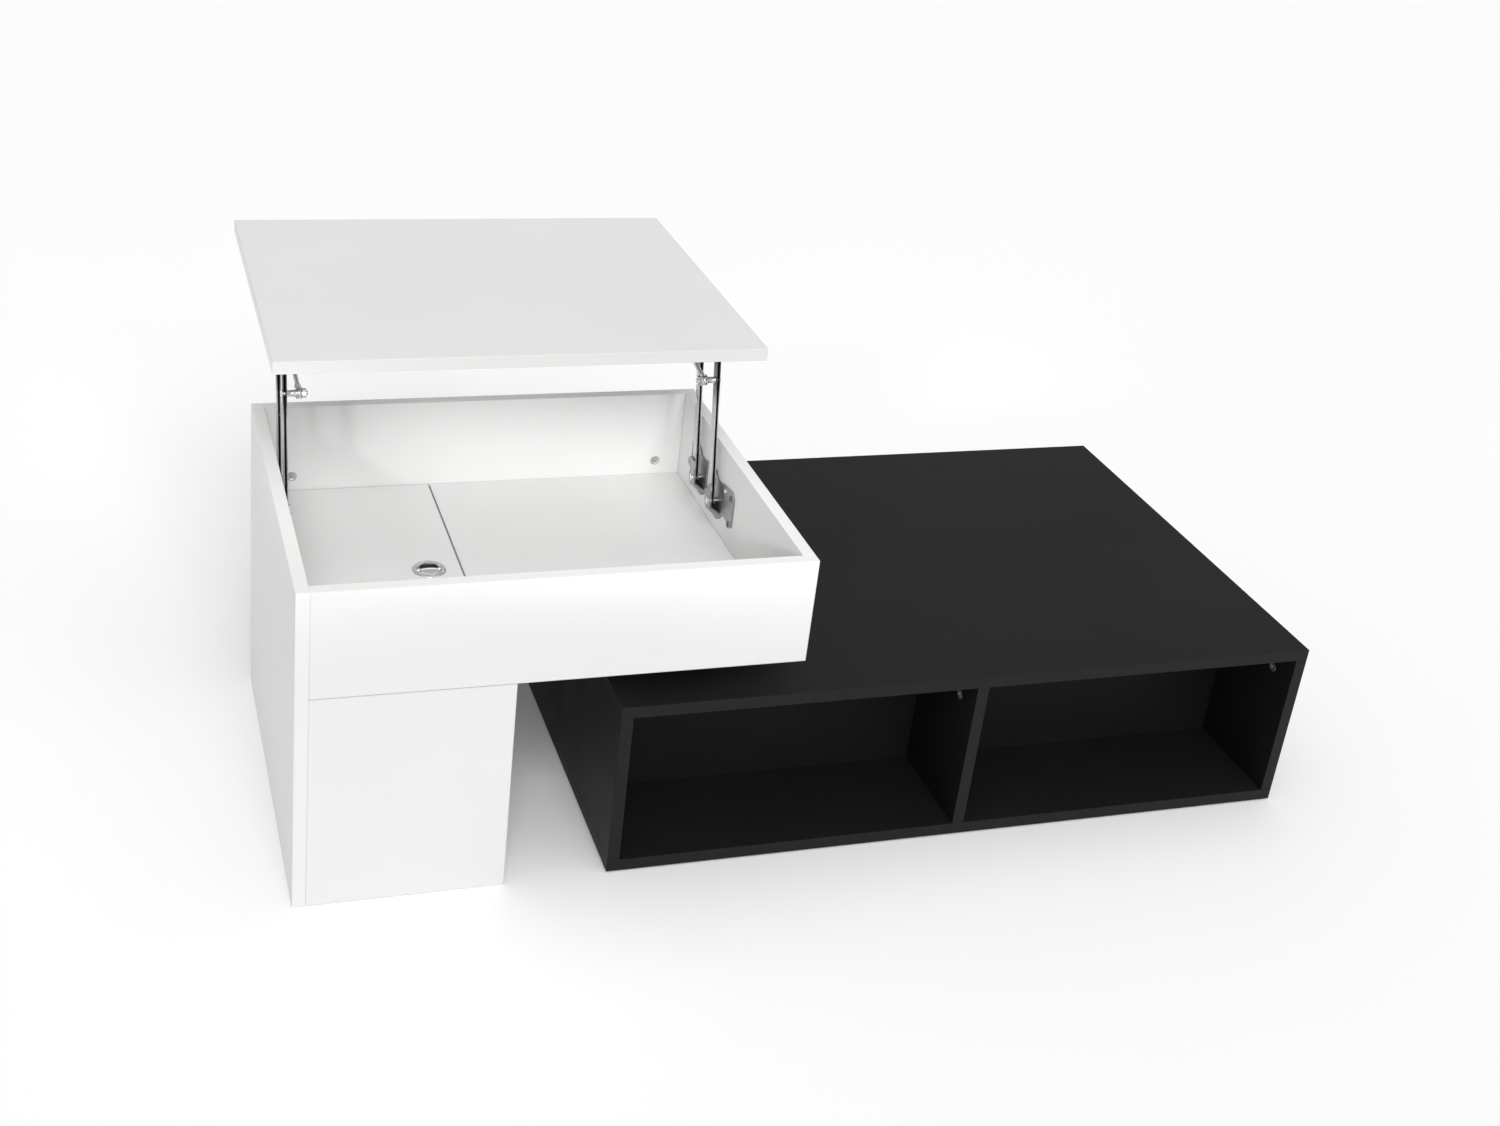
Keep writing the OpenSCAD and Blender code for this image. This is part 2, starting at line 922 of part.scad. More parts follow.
// Flange that carries the two upper pivots, with a round lobe at each
module top_flange() {
  x0 = cheek_x;
  x1 = cheek_x + bracket_t;
  rear_reach = 60;
  block([x0, plate_y0, top_z + 6], [x1, top_y + pivot_pitch + rear_reach, lid_z - bracket_t + EPS]);
  block([x0, top_y - lobe_r, top_z], [x1, top_y + lobe_r, top_z + 6 + EPS]);
  block([x0, top_y + pivot_pitch - lobe_r, top_z], [x1, top_y + pivot_pitch + lobe_r, top_z + 6 + EPS]);
  for (y = [top_y, top_y + pivot_pitch])
    rod_x(x0, x1, y, top_z, lobe_r);
}

// Fork that holds the strut's rear pin between two cheeks
module strut_fork() {
  half = 8;
  below = 9;
  for (x = [fork_x0, fork_x1])
    block([x, strut_pin_y - half, strut_pin_z - below],
          [x + bracket_t, strut_pin_y + half, lid_z - bracket_t + EPS]);
}

module top_bracket() {
  color("darkgray")
    difference() {
      union() {
        block([plate_x0, plate_y0, lid_z - bracket_t], [plate_x1, plate_y1, lid_z]);
        top_flange();
        strut_fork();
      }
      top_rivet_shanks();
      top_screw_shanks();
    }
}

module top_bracket_left() {
  on_wall(LEFT)
    top_bracket();
}

module top_bracket_right() {
  on_wall(RIGHT)
    top_bracket();
}

module top_rivet_shanks() {
  for (y = [top_y, top_y + pivot_pitch])
    rod_x(arm_x0, cheek_x + bracket_t, y, top_z, rivet_r);
}

module top_rivets() {
  color("silver")
    for (side = SIDES)
      on_wall(side) {
        top_rivet_shanks();
        for (y = [top_y, top_y + pivot_pitch]) {
          rivet_head(cheek_x + bracket_t, y, top_z);
          rod_x(arm_x0 - PART_GAP - 1.2, arm_x0 - PART_GAP, y, top_z, rivet_r + 1);
          rod_x(arm_x0 - PART_GAP - EPS, arm_x0 + EPS, y, top_z, rivet_r);
        }
      }
}

module top_screws() {
  color("dimgray")
    for (side = SIDES)
      on_wall(side)
        top_screw_set();
}

module fork_rivets() {
  color("silver")
    for (side = SIDES)
      on_wall(side) {
        rivet_head(fork_x1 + bracket_t, strut_pin_y, strut_pin_z);
        translate([2 * fork_x0, 0, 0])
          mirror([1, 0, 0])
            rivet_head(fork_x0, strut_pin_y, strut_pin_z);
      }
}

// --- Gas struts, drawn along +Y from the front eye

module along_strut() {
  translate([strut_x, bolt_y, bolt_z])
    rotate([strut_angle, 0, 0])
      children();
}

// Rod along +Y, from s0 to s1
module rod_y(s0, s1, r) {
  translate([0, s0, 0])
    rotate([-90, 0, 0])
      cylinder(r = r, h = s1 - s0);
}

// Eye of the given width at s
module strut_eye(s, width, bore_r) {
  difference() {
    rod_x(-width / 2, width / 2, s, 0, eye_r);
    rod_x(-width / 2 - CUT, width / 2 + CUT, s, 0, bore_r);
  }
}

module strut_rod(side) {
  piston_s = mouth_s + cap_len + 1;
  color("silver")
    on_wall(side)
      along_strut() {
        strut_eye(0, eye_w, rod_r + RUN_GAP);
        difference() {
          block([-eye_w / 2, 0, -rod_r], [eye_w / 2, tongue_len, rod_r]);
          rod_x(-eye_w, eye_w, 0, 0, eye_r - 1);
        }
        rod_y(tongue_len - 1, piston_s + EPS, rod_r);
        rod_y(piston_s, piston_s + piston_len, strut_r - strut_wall - RUN_GAP);
      }
}

module strut_cylinder(side) {
  end_s = mouth_s + strut_len;
  color("#1c1c1c")
    on_wall(side)
      along_strut() {
        difference() {
          rod_y(mouth_s, end_s, strut_r);
          rod_y(mouth_s + cap_len, end_s - cap_len, strut_r - strut_wall);
          rod_y(mouth_s - CUT, mouth_s + cap_len + CUT, rod_r + RUN_GAP);
        }
        difference() {
          rod_y(end_s - EPS, strut_span - eye_r + 2, rod_r + neck_more);
          rod_x(-rear_eye_w, rear_eye_w, strut_span, 0, eye_r - 1);
        }
        strut_eye(strut_span, rear_eye_w, rod_r);
      }
}

module strut_rod_left() {
  strut_rod(LEFT);
}

module strut_rod_right() {
  strut_rod(RIGHT);
}

module strut_cylinder_left() {
  strut_cylinder(LEFT);
}

module strut_cylinder_right() {
  strut_cylinder(RIGHT);
}

module strut_end_pins() {
  color("silver")
    for (side = SIDES)
      on_wall(side)
        along_strut()
          rod_x(-rear_eye_w / 2, rear_eye_w / 2, strut_span, 0, rod_r);
}

// --- Hatch and ring pull

// Puts what is drawn around the ring pull's middle, with Z from the hatch's face
module at_ring() {
  translate([ring_x, ring_y, floor_z])
    children();
}

module ring_cup_body() {
  translate([0, 0, -cup_depth])
    cylinder(r = cup_r + cup_wall, h = cup_depth + EPS);
}

module at_ring_screws() {
  for (x = [-ring_screw_x, ring_screw_x])
    translate([x, -ring_screw_inset, cup_wall - cup_depth])
      children();
}

module ring_screw_shanks() {
  at_ring_screws()
    translate([0, 0, -ring_screw_len])
      cylinder(r = ring_screw_r, h = ring_screw_len);
}

module hatch_panel() {
  color("whitesmoke")
    difference() {
      block([hatch_x0, hatch_y0, tray_z], [hatch_x1, hatch_y1, floor_z]);
      at_ring() {
        ring_cup_body();
        ring_screw_shanks();
      }
    }
}

// Seat for the bail in the front half of the cup, and the finger recess behind it
module ring_cup_hollow() {
  deep = cup_depth - cup_wall;
  translate([0, 0, -deep])
    difference() {
      cylinder(r = cup_r, h = deep + CUT + ring_flange_t);
      block([-2 * cup_r, seat_y, -CUT], [2 * cup_r, 2 * cup_r, deep + 2 * CUT + ring_flange_t]);
    }
  translate([0, 0, -deep])
    cylinder(r = recess_r, h = deep + CUT + ring_flange_t);
}

// One pin at each side of the cup, from x0 to x1 out from its middle
module ring_pin_pair(x0, x1, r) {
  for (turn = [0, 180])
    rotate([0, 0, turn])
      rod_x(x0, x1, 0, bail_z - floor_z, r);
}

module ring_cup() {
  color("silver")
    at_ring()
      difference() {
        union() {
          cylinder(r = ring_r, h = ring_flange_t);
          ring_cup_body();
        }
        ring_cup_hollow();
        ring_pin_pair(bail_r, ring_pin_end, bail_pin_r);
        ring_screw_shanks();
      }
}

module ring_pins() {
  color("silver")
    at_ring()
      ring_pin_pair(bail_r - bail_ear, ring_pin_end, bail_pin_r);
}

module ring_screws() {
  color("silver")
    at_ring() {
      ring_screw_shanks();
      at_ring_screws()
        cylinder(r = 2 * ring_screw_r, h = 0.8);
    }
}

// Half moon with an arched rear edge, from z0 to z1, drawn smaller all round by edge
module bail_plate(z0, z1, edge) {
  arch_r = (pow(bail_r - 1, 2) + pow(bail_arch, 2)) / (2 * bail_arch);
  translate([0, 0, z0])
    intersection() {
      cylinder(r = bail_r - edge, h = z1 - z0);
      translate([0, bail_arch - arch_r, 0])
        cylinder(r = arch_r - edge, h = z1 - z0);
    }
}

// Dished bail that lies in the front half of the cup and turns about the two pins
module ring_bail() {
  half = bail_t / 2;
  dish = 1;
  color("silver")
    at_ring()
      difference() {
        union() {
          translate([0, 0, bail_z - floor_z])
            difference() {
              bail_plate(-half, half, 0);
              bail_plate(half - dish, half + CUT, bail_lip);
            }
          ring_pin_pair(bail_r - bail_ear, bail_r, bail_ear_r);
        }
        ring_pin_pair(bail_r - bail_ear, bail_r + CUT, bail_pin_r + RUN_GAP);
      }
}

left_end_panel();
tray_front_panel();
tray_right_panel();
tray_back_panel();
tray_floor_panel();
column_front_panel();
column_back_panel();
column_inner_panel();
column_bottom_panel();
hatch_cleats();
white_cam_locks();
white_cam_bolts();
white_dowels();
support_feet();
foot_pads();
foot_screws();
base_bracket_left();
base_bracket_right();
base_rivets();
base_screws();
low_top_panel();
low_bottom_panel();
low_left_panel();
low_right_panel();
low_divider();
low_back_left();
low_back_right();
low_cam_locks();
low_cam_bolts();
low_dowels();
low_bottom_screws();
low_glides();
front_arm_left();
front_arm_right();
strut_bolts();
bolt_spacers();
bolt_washers();
bolt_nuts();
rear_arm_left();
rear_arm_right();
arm_studs();
lid_panel();
top_bracket_left();
top_bracket_right();
top_rivets();
top_screws();
fork_rivets();
strut_rod_left();
strut_rod_right();
strut_cylinder_left();
strut_cylinder_right();
strut_end_pins();
hatch_panel();
ring_cup();
ring_pins();
ring_screws();
ring_bail();
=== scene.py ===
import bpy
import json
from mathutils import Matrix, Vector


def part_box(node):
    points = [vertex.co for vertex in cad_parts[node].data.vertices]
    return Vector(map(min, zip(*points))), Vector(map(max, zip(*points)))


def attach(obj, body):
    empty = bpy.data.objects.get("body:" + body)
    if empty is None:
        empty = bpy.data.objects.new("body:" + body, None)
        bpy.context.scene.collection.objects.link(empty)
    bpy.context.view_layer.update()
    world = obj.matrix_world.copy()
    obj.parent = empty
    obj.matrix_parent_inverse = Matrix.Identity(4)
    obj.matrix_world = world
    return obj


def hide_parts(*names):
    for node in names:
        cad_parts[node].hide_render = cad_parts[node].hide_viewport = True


bl_info = {
    "name": "Lift Top Coffee Table",
    "version": (1, 0, 0),
    "blender": (4, 5, 0),
    "location": "3D View > Sidebar > Coffee Table",
    "description": "Dresses a lift top coffee table: banded boards, lift hardware, ring pull and stage",
    "category": "Add Mesh",
}

import json
import math

import bmesh
import bpy
from mathutils import Matrix, Vector

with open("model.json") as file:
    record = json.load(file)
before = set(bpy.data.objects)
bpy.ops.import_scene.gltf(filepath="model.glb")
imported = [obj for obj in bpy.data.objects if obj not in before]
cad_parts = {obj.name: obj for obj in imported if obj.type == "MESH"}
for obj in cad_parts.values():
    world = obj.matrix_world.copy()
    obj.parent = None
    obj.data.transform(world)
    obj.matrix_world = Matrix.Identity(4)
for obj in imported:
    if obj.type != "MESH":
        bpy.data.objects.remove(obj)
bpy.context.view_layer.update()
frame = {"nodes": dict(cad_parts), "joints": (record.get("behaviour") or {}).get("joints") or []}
JOINTS = {joint["name"]: joint for joint in frame["joints"]}

MM = 0.001
AXES = (Vector((1, 0, 0)), Vector((0, 1, 0)), Vector((0, 0, 1)))
SIDES = ("left", "right")
NEAR = 0.01 * MM

# Boards and the cam locks in them
THICKEST_BOARD = 30 * MM
CAM_R = 5.95 * MM
CAM_DEPTH = 10 * MM
CAM_BORE_R = 6.2 * MM
CAM_BORE_DEPTH = 10.5 * MM
CUP_BORE_R = 16.7 * MM
CUP_BORE_DEPTH = 9.2 * MM

# Screws, as head radius, head height, shank radius and shank length
BOARD_SCREW = (4 * MM, 1.6 * MM, 2 * MM, 11 * MM)
RING_SCREW = (2.8 * MM, 0.8 * MM, 1.4 * MM, 5.4 * MM)

# Arms and brackets
ARM_SHEET = 1.2 * MM
ARM_BEND = 0.6 * MM
ARM_EDGE = 0.2 * MM
PIVOT_BORE_R = 3.05 * MM
STUD_BORE_R = 2.5 * MM
RIVET_HEAD = 1.8 * MM
PLATE_SHEET = 2 * MM
PLATE_CORNER = 2.5 * MM
PLATE_EDGE = 0.3 * MM

# Gas struts and their bolts
EYE_R = 6.5 * MM
EYE_HALF = 2 * MM
REAR_EYE_HALF = 3.5 * MM
ROD_R = 3 * MM
TUBE_R = 7.5 * MM
TUBE_LENGTH = 114 * MM
TUBE_MOUTH_BACK = 130 * MM
PLAY = 0.05 * MM
BOLT_BORE_R = 3.02 * MM
BOLT_THREADS = 10
THREAD_PITCH = 0.7 * MM
THREAD_BACK = 7.5 * MM
NUT_FLAT_R = 5.02 * MM

# Stage: where each light comes from, and the camera
KEY_FROM = (-0.15, -1.3, 1.15)
TOP_FROM = (0, -0.2, 1)
FILL_LEFT_FROM = (-0.55, -0.78, 0.30)
FILL_RIGHT_FROM = (0.12, -0.93, 0.33)
FILL_RIGHT_SHARE = 0.6
FILL_SIZE = (0.8, 0.13)
FILL_SPREAD = 12
FILL_AWAY = 0.9
FILL_OVER_TRAY = 75 * MM
CAMERA_PLACE = (-0.32549, -1.92649, 1.39236)
CAMERA_RIGHT = (0.955601, -0.280199, 0.091193)
CAMERA_BACK = (-0.291828, -0.857104, 0.424511)
CAMERA_SHIFT = (0.0643, -0.0773)

WHITE_BOARDS = {
    "left_end_panel": "left_end_board",
    "tray_front_panel": "tray_front_board",
    "tray_right_panel": "tray_right_board",
    "tray_back_panel": "tray_back_board",
    "tray_floor_panel": "tray_floor_board",
    "column_front_panel": "column_front_board",
    "column_back_panel": "column_back_board",
    "column_inner_panel": "column_inner_board",
    "column_bottom_panel": "column_bottom_board",
}
BLACK_BOARDS = {
    "low_top_panel": "low_top_board",
    "low_bottom_panel": "low_bottom_board",
    "low_left_panel": "low_left_board",
    "low_right_panel": "low_right_board",
    "low_divider": "low_divider_board",
    "low_back_left": "low_back_left_board",
    "low_back_right": "low_back_right_board",
}


# --- Settings that a user would change

class BoardSettings(bpy.types.PropertyGroup):
    white: bpy.props.FloatVectorProperty(
        name="White", description="Colour of the white laminate", subtype="COLOR", size=3,
        default=(0.785, 0.785, 0.78), min=0, max=1)
    white_band: bpy.props.FloatVectorProperty(
        name="White edge band", description="Colour of the white edge band", subtype="COLOR", size=3,
        default=(0.805, 0.80, 0.79), min=0, max=1)
    black: bpy.props.FloatVectorProperty(
        name="Black", description="Colour of the black laminate", subtype="COLOR", size=3,
        default=(0.0105, 0.0105, 0.0108), min=0, max=1)
    black_band: bpy.props.FloatVectorProperty(
        name="Black edge band", description="Colour of the black edge band", subtype="COLOR", size=3,
        default=(0.0125, 0.0125, 0.0128), min=0, max=1)
    ease: bpy.props.FloatProperty(
        name="Eased edge", description="Radius of the eased edges of the boards",
        default=0.5 * MM, min=0.1 * MM, max=1.5 * MM, unit="LENGTH", precision=5)
    seam: bpy.props.FloatProperty(
        name="Band seam", description="Width of the glue line between a board's face and its edge band",
        default=0.18 * MM, min=0.05 * MM, max=0.5 * MM, unit="LENGTH", precision=5)


class MetalSettings(bpy.types.PropertyGroup):
    arm: bpy.props.FloatVectorProperty(
        name="Arms", description="Colour of the plated arms", subtype="COLOR", size=3,
        default=(0.60, 0.60, 0.605), min=0, max=1)
    bracket: bpy.props.FloatVectorProperty(
        name="Brackets", description="Colour of the bracket steel", subtype="COLOR", size=3,
        default=(0.40, 0.405, 0.41), min=0, max=1)
    bright: bpy.props.FloatVectorProperty(
        name="Bright parts", description="Colour of the bolts, rivets and the ring pull", subtype="COLOR",
        size=3, default=(0.80, 0.80, 0.80), min=0, max=1)
    zinc: bpy.props.FloatVectorProperty(
        name="Cast zinc", description="Colour of the cam locks", subtype="COLOR", size=3,
        default=(0.72, 0.72, 0.71), min=0, max=1)
    tube: bpy.props.FloatVectorProperty(
        name="Strut tube", description="Colour of the painted strut tubes", subtype="COLOR", size=3,
        default=(0.012, 0.012, 0.013), min=0, max=1)
    # Strength of the painted shade that darkens the arms by their upper pivots, under the lid
    lid_shading_strength: bpy.props.FloatProperty(
        name="Painted lid shade", description="How dark the arms are by their upper pivots", default=0.85, min=0,
        max=1)


class StageSettings(bpy.types.PropertyGroup):
    floor: bpy.props.FloatVectorProperty(
        name="Floor", description="Colour of the floor", subtype="COLOR", size=3,
        default=(0.96, 0.96, 0.96), min=0, max=1)
    sky: bpy.props.FloatProperty(
        name="Room light", description="Brightness of the light from all round", default=0.40, min=0, max=5)
    key: bpy.props.FloatProperty(
        name="Key light", description="Strength of the low soft light from the front", default=1.38, min=0,
        max=20)
    top: bpy.props.FloatProperty(
        name="Top light", description="Strength of the soft light from above", default=1.09, min=0, max=20)
    fill: bpy.props.FloatProperty(
        name="Fill light", description="Strength of the beams that reach under the lid", default=1.35,
        min=0, max=20)
    focal: bpy.props.FloatProperty(
        name="Focal length", description="Camera lens", default=45.0, min=10, max=200, unit="CAMERA")


# --- Meshes

def new_object(name, bm, materials):
    mesh = bpy.data.meshes.new(name)
    bm.to_mesh(mesh)
    bm.free()
    obj = bpy.data.objects.new(name, mesh)
    bpy.context.scene.collection.objects.link(obj)
    for material in materials:
        mesh.materials.append(material)
    return obj


def apply_modifiers(obj):
    """Bakes the modifiers of obj into its mesh."""
    bpy.context.view_layer.update()
    graph = bpy.context.evaluated_depsgraph_get()
    mesh = bpy.data.meshes.new_from_object(obj.evaluated_get(graph))
    old = obj.data
    obj.modifiers.clear()
    obj.data = mesh
    mesh.name = old.name
    bpy.data.meshes.remove(old)


def remove_object(obj):
    mesh = obj.data
    bpy.data.objects.remove(obj)
    bpy.data.meshes.remove(mesh)


def cut(obj, cutter, operation="DIFFERENCE"):
    """Cuts obj with cutter, which is used up. The new faces keep the cutter's material index."""
    modifier = obj.modifiers.new("cut", "BOOLEAN")
    modifier.operation = operation
    modifier.solver = "EXACT"
    modifier.use_self = operation == "DIFFERENCE"
    modifier.object = cutter
    apply_modifiers(obj)
    remove_object(cutter)


def shade(obj, angle=32):
    """Smooth faces with sharp edges where the surface turns by more than angle degrees."""
    bm = bmesh.new()
    bm.from_mesh(obj.data)
    bmesh.ops.remove_doubles(bm, verts=bm.verts, dist=1e-7)
    limit = math.radians(angle)
    for face in bm.faces:
        face.smooth = True
    for edge in bm.edges:
        edge.smooth = len(edge.link_faces) == 2 and edge.calc_face_angle(0) < limit
    bm.to_mesh(obj.data)
    bm.free()
    return obj


def ease_edges(obj, width, segments=2, angle=40):
    """Rounds the sharp edges of obj."""
    modifier = obj.modifiers.new("ease", "BEVEL")
    modifier.width = width
    modifier.segments = segments
    modifier.limit_method = "ANGLE"
    modifier.angle_limit = math.radians(angle)
    modifier.use_clamp_overlap = True
    modifier.miter_outer = "MITER_ARC"
    modifier.harden_normals = True
    apply_modifiers(obj)


def even_normals(obj):
    """Keeps large flat faces flat where they meet eased edges."""
    modifier = obj.modifiers.new("even", "WEIGHTED_NORMAL")
    modifier.mode = "FACE_AREA"
    modifier.weight = 100
    modifier.keep_sharp = True
    apply_modifiers(obj)
    return obj


def flat_faces(obj):
    """Joins the coplanar triangles that a cut leaves, so that an eased edge stays even."""
    bm = bmesh.new()
    bm.from_mesh(obj.data)
    bmesh.ops.remove_doubles(bm, verts=bm.verts, dist=1e-6)
    bmesh.ops.dissolve_limit(bm, angle_limit=math.radians(0.5), use_dissolve_boundaries=False,
                             verts=bm.verts, edges=bm.edges, delimit={"MATERIAL"})
    bm.to_mesh(obj.data)
    bm.free()


def add_block(bm, low, high):
    size = Vector(high) - Vector(low)
    matrix = Matrix.Translation((Vector(low) + Vector(high)) / 2) @ Matrix.Diagonal((*size, 1))
    return bmesh.ops.create_cube(bm, size=1, matrix=matrix)["verts"]


def add_lathe(bm, profile, segments=48, matrix=None, index=0):
    """Turns a profile of (radius, height) points about Z; a radius of 0 closes the end."""
    rings = []
    for radius, height in profile:
        if radius < 1e-9:
            rings.append([bm.verts.new((0, 0, height))])
            continue
        turns = [2 * math.pi * n / segments for n in range(segments)]
        rings.append([bm.verts.new((radius * math.cos(t), radius * math.sin(t), height)) for t in turns])
    faces = []
    for lower, upper in zip(rings, rings[1:]):
        for n in range(segments):
            m = (n + 1) % segments
            if len(lower) == 1:
                faces.append(bm.faces.new((lower[0], upper[m], upper[n])))
            elif len(upper) == 1:
                faces.append(bm.faces.new((lower[n], lower[m], upper[0])))
            else:
                faces.append(bm.faces.new((lower[n], lower[m], upper[m], upper[n])))
    for face in faces:
        face.material_index = index
        face.smooth = True
    if matrix is not None:
        verts = [v for ring in rings for v in ring]
        bmesh.ops.transform(bm, matrix=matrix, verts=verts)


def add_rod(bm, start, end, radius, segments=40, index=0):
    """Plain round rod between two points."""
    start, end = Vector(start), Vector(end)
    matrix = along(start, end - start)
    length = (end - start).length
    add_lathe(bm, [(0, 0), (radius, 0), (radius, length), (0, length)], segments, matrix, index)


def along(origin, direction, up=(0, 0, 1)):
    """Matrix that puts Z along direction at origin."""
    z = Vector(direction).normalized()
    hint = Vector(up)
    if abs(z.dot(hint.normalized())) > 0.99:
        hint = Vector((1, 0, 0))
    x = hint.cross(z).normalized()
    y = z.cross(x)
    turn = Matrix((x, y, z)).transposed().to_4x4()
    return Matrix.Translation(Vector(origin)) @ turn


def bridge(bm, rings):
    """Bands of faces between rings of as many vertices each."""
    faces = []
    for lower, upper in zip(rings, rings[1:]):
        for n in range(len(lower)):
            m = (n + 1) % len(lower)
            faces.append(bm.faces.new((lower[n], lower[m], upper[m], upper[n])))
    return faces


def add_stack(bm, rings, index=0):
    """Closed body through rings of as many vertices each."""
    faces = [bm.faces.new(list(reversed(rings[0]))), bm.faces.new(rings[-1]), *bridge(bm, rings)]
    bmesh.ops.recalc_face_normals(bm, faces=faces)
    for face in faces:
        face.material_index = index


def join_copies(name, template, matrices, materials):
    """One object from copies of the template mesh, and the template is used up."""
    bm = bmesh.new()
    for matrix in matrices:
        before = set(bm.verts)
        bm.from_mesh(template)
        bmesh.ops.transform(bm, matrix=matrix, verts=[v for v in bm.verts if v not in before])
    bpy.data.meshes.remove(template)
    return new_object(name, bm, materials)


def take_mesh(obj):
    """The mesh of an object that is used up."""
    mesh = obj.data
    bpy.data.objects.remove(obj)
    return mesh


def node_solids(node):
    """Boxes of the separate solids in a CAD node, as (low corner, high corner)."""
    bm = bmesh.new()
    bm.from_mesh(frame["nodes"][node].data)
    bmesh.ops.remove_doubles(bm, verts=bm.verts, dist=1e-6)
    left = set(bm.verts)
    boxes = []
    while left:
        stack = [left.pop()]
        solid = []
        while stack:
            vert = stack.pop()
            solid.append(vert.co.copy())
            for edge in vert.link_edges:
                other = edge.other_vert(vert)
                if other in left:
                    left.remove(other)
                    stack.append(other)
        low = Vector([min(co[k] for co in solid) for k in range(3)])
        high = Vector([max(co[k] for co in solid) for k in range(3)])
        boxes.append((low, high))
    bm.free()
    return sorted(boxes, key=lambda box: tuple(round(c, 5) for c in box[0]))


def eased_copy(name, node, material):
    """A CAD node's own shape with rounded corners and edges, standing for the node."""
    source = frame["nodes"][node]
    mesh = source.data.copy()
    obj = bpy.data.objects.new(name, mesh)
    bpy.context.scene.collection.objects.link(obj)
    mesh.materials.clear()
    mesh.materials.append(material)
    round_corners(obj, PLATE_CORNER, PLATE_SHEET)
    ease_edges(obj, PLATE_EDGE)
    return even_normals(shade(obj, 40))


def round_corners(obj, radius, thickness):
    """Rounds the corners of plates that are square to X, in their own plane."""
    flat_faces(obj)
    bm = bmesh.new()
    bm.from_mesh(obj.data)
    corners = []
    for edge in bm.edges:
        line = edge.verts[1].co - edge.verts[0].co
        thin = abs(line.x) > 0.999 * line.length and line.length < 1.1 * thickness
        if thin and len(edge.link_faces) == 2 and edge.calc_face_angle(0) > math.radians(25):
            corners.append(edge)
    bmesh.ops.bevel(bm, geom=corners, offset=radius, segments=5, profile=0.5, affect="EDGES",
                    clamp_overlap=True)
    bm.to_mesh(obj.data)
    bm.free()


def settle(piece, body, nodes):
    """Puts a finished piece on its body, in place of the CAD nodes that it stands for."""
    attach(piece, body)
    if nodes:
        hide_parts(*nodes)


def middle(node):
    low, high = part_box(node)
    return (low + high) / 2


# --- Node trees

class Sheet:
    """Adds nodes to one tree and links them."""

    def __init__(self, tree):
        self.tree = tree
        self.place = 0

    def add(self, kind, inputs=None, **settings):
        node = self.tree.nodes.new(kind)
        for name, value in settings.items():
            setattr(node, name, value)
        for socket, value in (inputs or {}).items():
            if isinstance(value, bpy.types.NodeSocket):
                self.tree.links.new(value, node.inputs[socket])
            else:
                node.inputs[socket].default_value = value
        node.location = (self.place % 8 * 220, -(self.place // 8) * 320)
        self.place += 1
        return node

    def math(self, operation, a, b=0.0):
        return self.add("ShaderNodeMath", {0: a, 1: b}, operation=operation).outputs[0]

    def map(self, value, low, high, to_low=0.0, to_high=1.0):
        inputs = {"Value": value, "From Min": low, "From Max": high, "To Min": to_low, "To Max": to_high}
        return self.add("ShaderNodeMapRange", inputs).outputs[0]

    def mix(self, factor, a, b):
        node = self.add("ShaderNodeMix", data_type="RGBA")
        for socket, value in (("Factor_Float", factor), ("A_Color", a), ("B_Color", b)):
            target = next(s for s in node.inputs if s.identifier == socket)
            if isinstance(value, bpy.types.NodeSocket):
                self.tree.links.new(value, target)
            else:
                target.default_value = value
        return next(s for s in node.outputs if s.identifier == "Result_Color")


def start_group(name, inputs, outputs):
    """An empty effect group with float sockets; a 3D input has a tuple as its default."""
    tree = bpy.data.node_groups.new(name, "ShaderNodeTree")
    for socket, default in inputs.items():
        kind = "NodeSocketVector" if isinstance(default, tuple) else "NodeSocketFloat"
        made = tree.interface.new_socket(socket, in_out="INPUT", socket_type=kind)
        made.default_value = default
    for socket in outputs:
        tree.interface.new_socket(socket, in_out="OUTPUT", socket_type="NodeSocketFloat")
    sheet = Sheet(tree)
    entry = sheet.add("NodeGroupInput")
    return sheet, entry.outputs, sheet.add("NodeGroupOutput")


def close_group(sheet, leave, values):
    for socket, value in values.items():
        sheet.tree.links.new(value, leave.inputs[socket])
    return sheet.tree


def object_point(sheet, scale=None):
    point = sheet.add("ShaderNodeTexCoord").outputs["Object"]
    if scale is None:
        return point
    return sheet.add("ShaderNodeVectorMath", {0: point, 1: scale}, operation="MULTIPLY").outputs[0]


def pressed_grain_group():
    """Fine pressed texture of melamine: pearl-like bumps with a faint cloud of tone."""
    sheet, given, leave = start_group(
        "Pressed grain", {"Pearl scale": 1400.0, "Cloud scale": 5.0}, ("Height", "Cloud"))
    point = object_point(sheet)
    pearl = sheet.add("ShaderNodeTexNoise", {"Vector": point, "Scale": given["Pearl scale"], "Detail": 2.0})
    pits = sheet.add("ShaderNodeTexVoronoi", {"Vector": point, "Scale": given["Pearl scale"]})
    soft_pits = sheet.map(pits.outputs["Distance"], 0.1, 0.7)
    height = sheet.math("ADD", pearl.outputs[0], sheet.math("MULTIPLY", soft_pits, 0.45))
    cloud = sheet.add(
        "ShaderNodeTexNoise", {"Vector": point, "Scale": given["Cloud scale"], "Detail": 4.0,
                               "Roughness": 0.6})
    return close_group(sheet, leave, {"Height": height, "Cloud": sheet.map(cloud.outputs[0], 0.3, 0.7)})


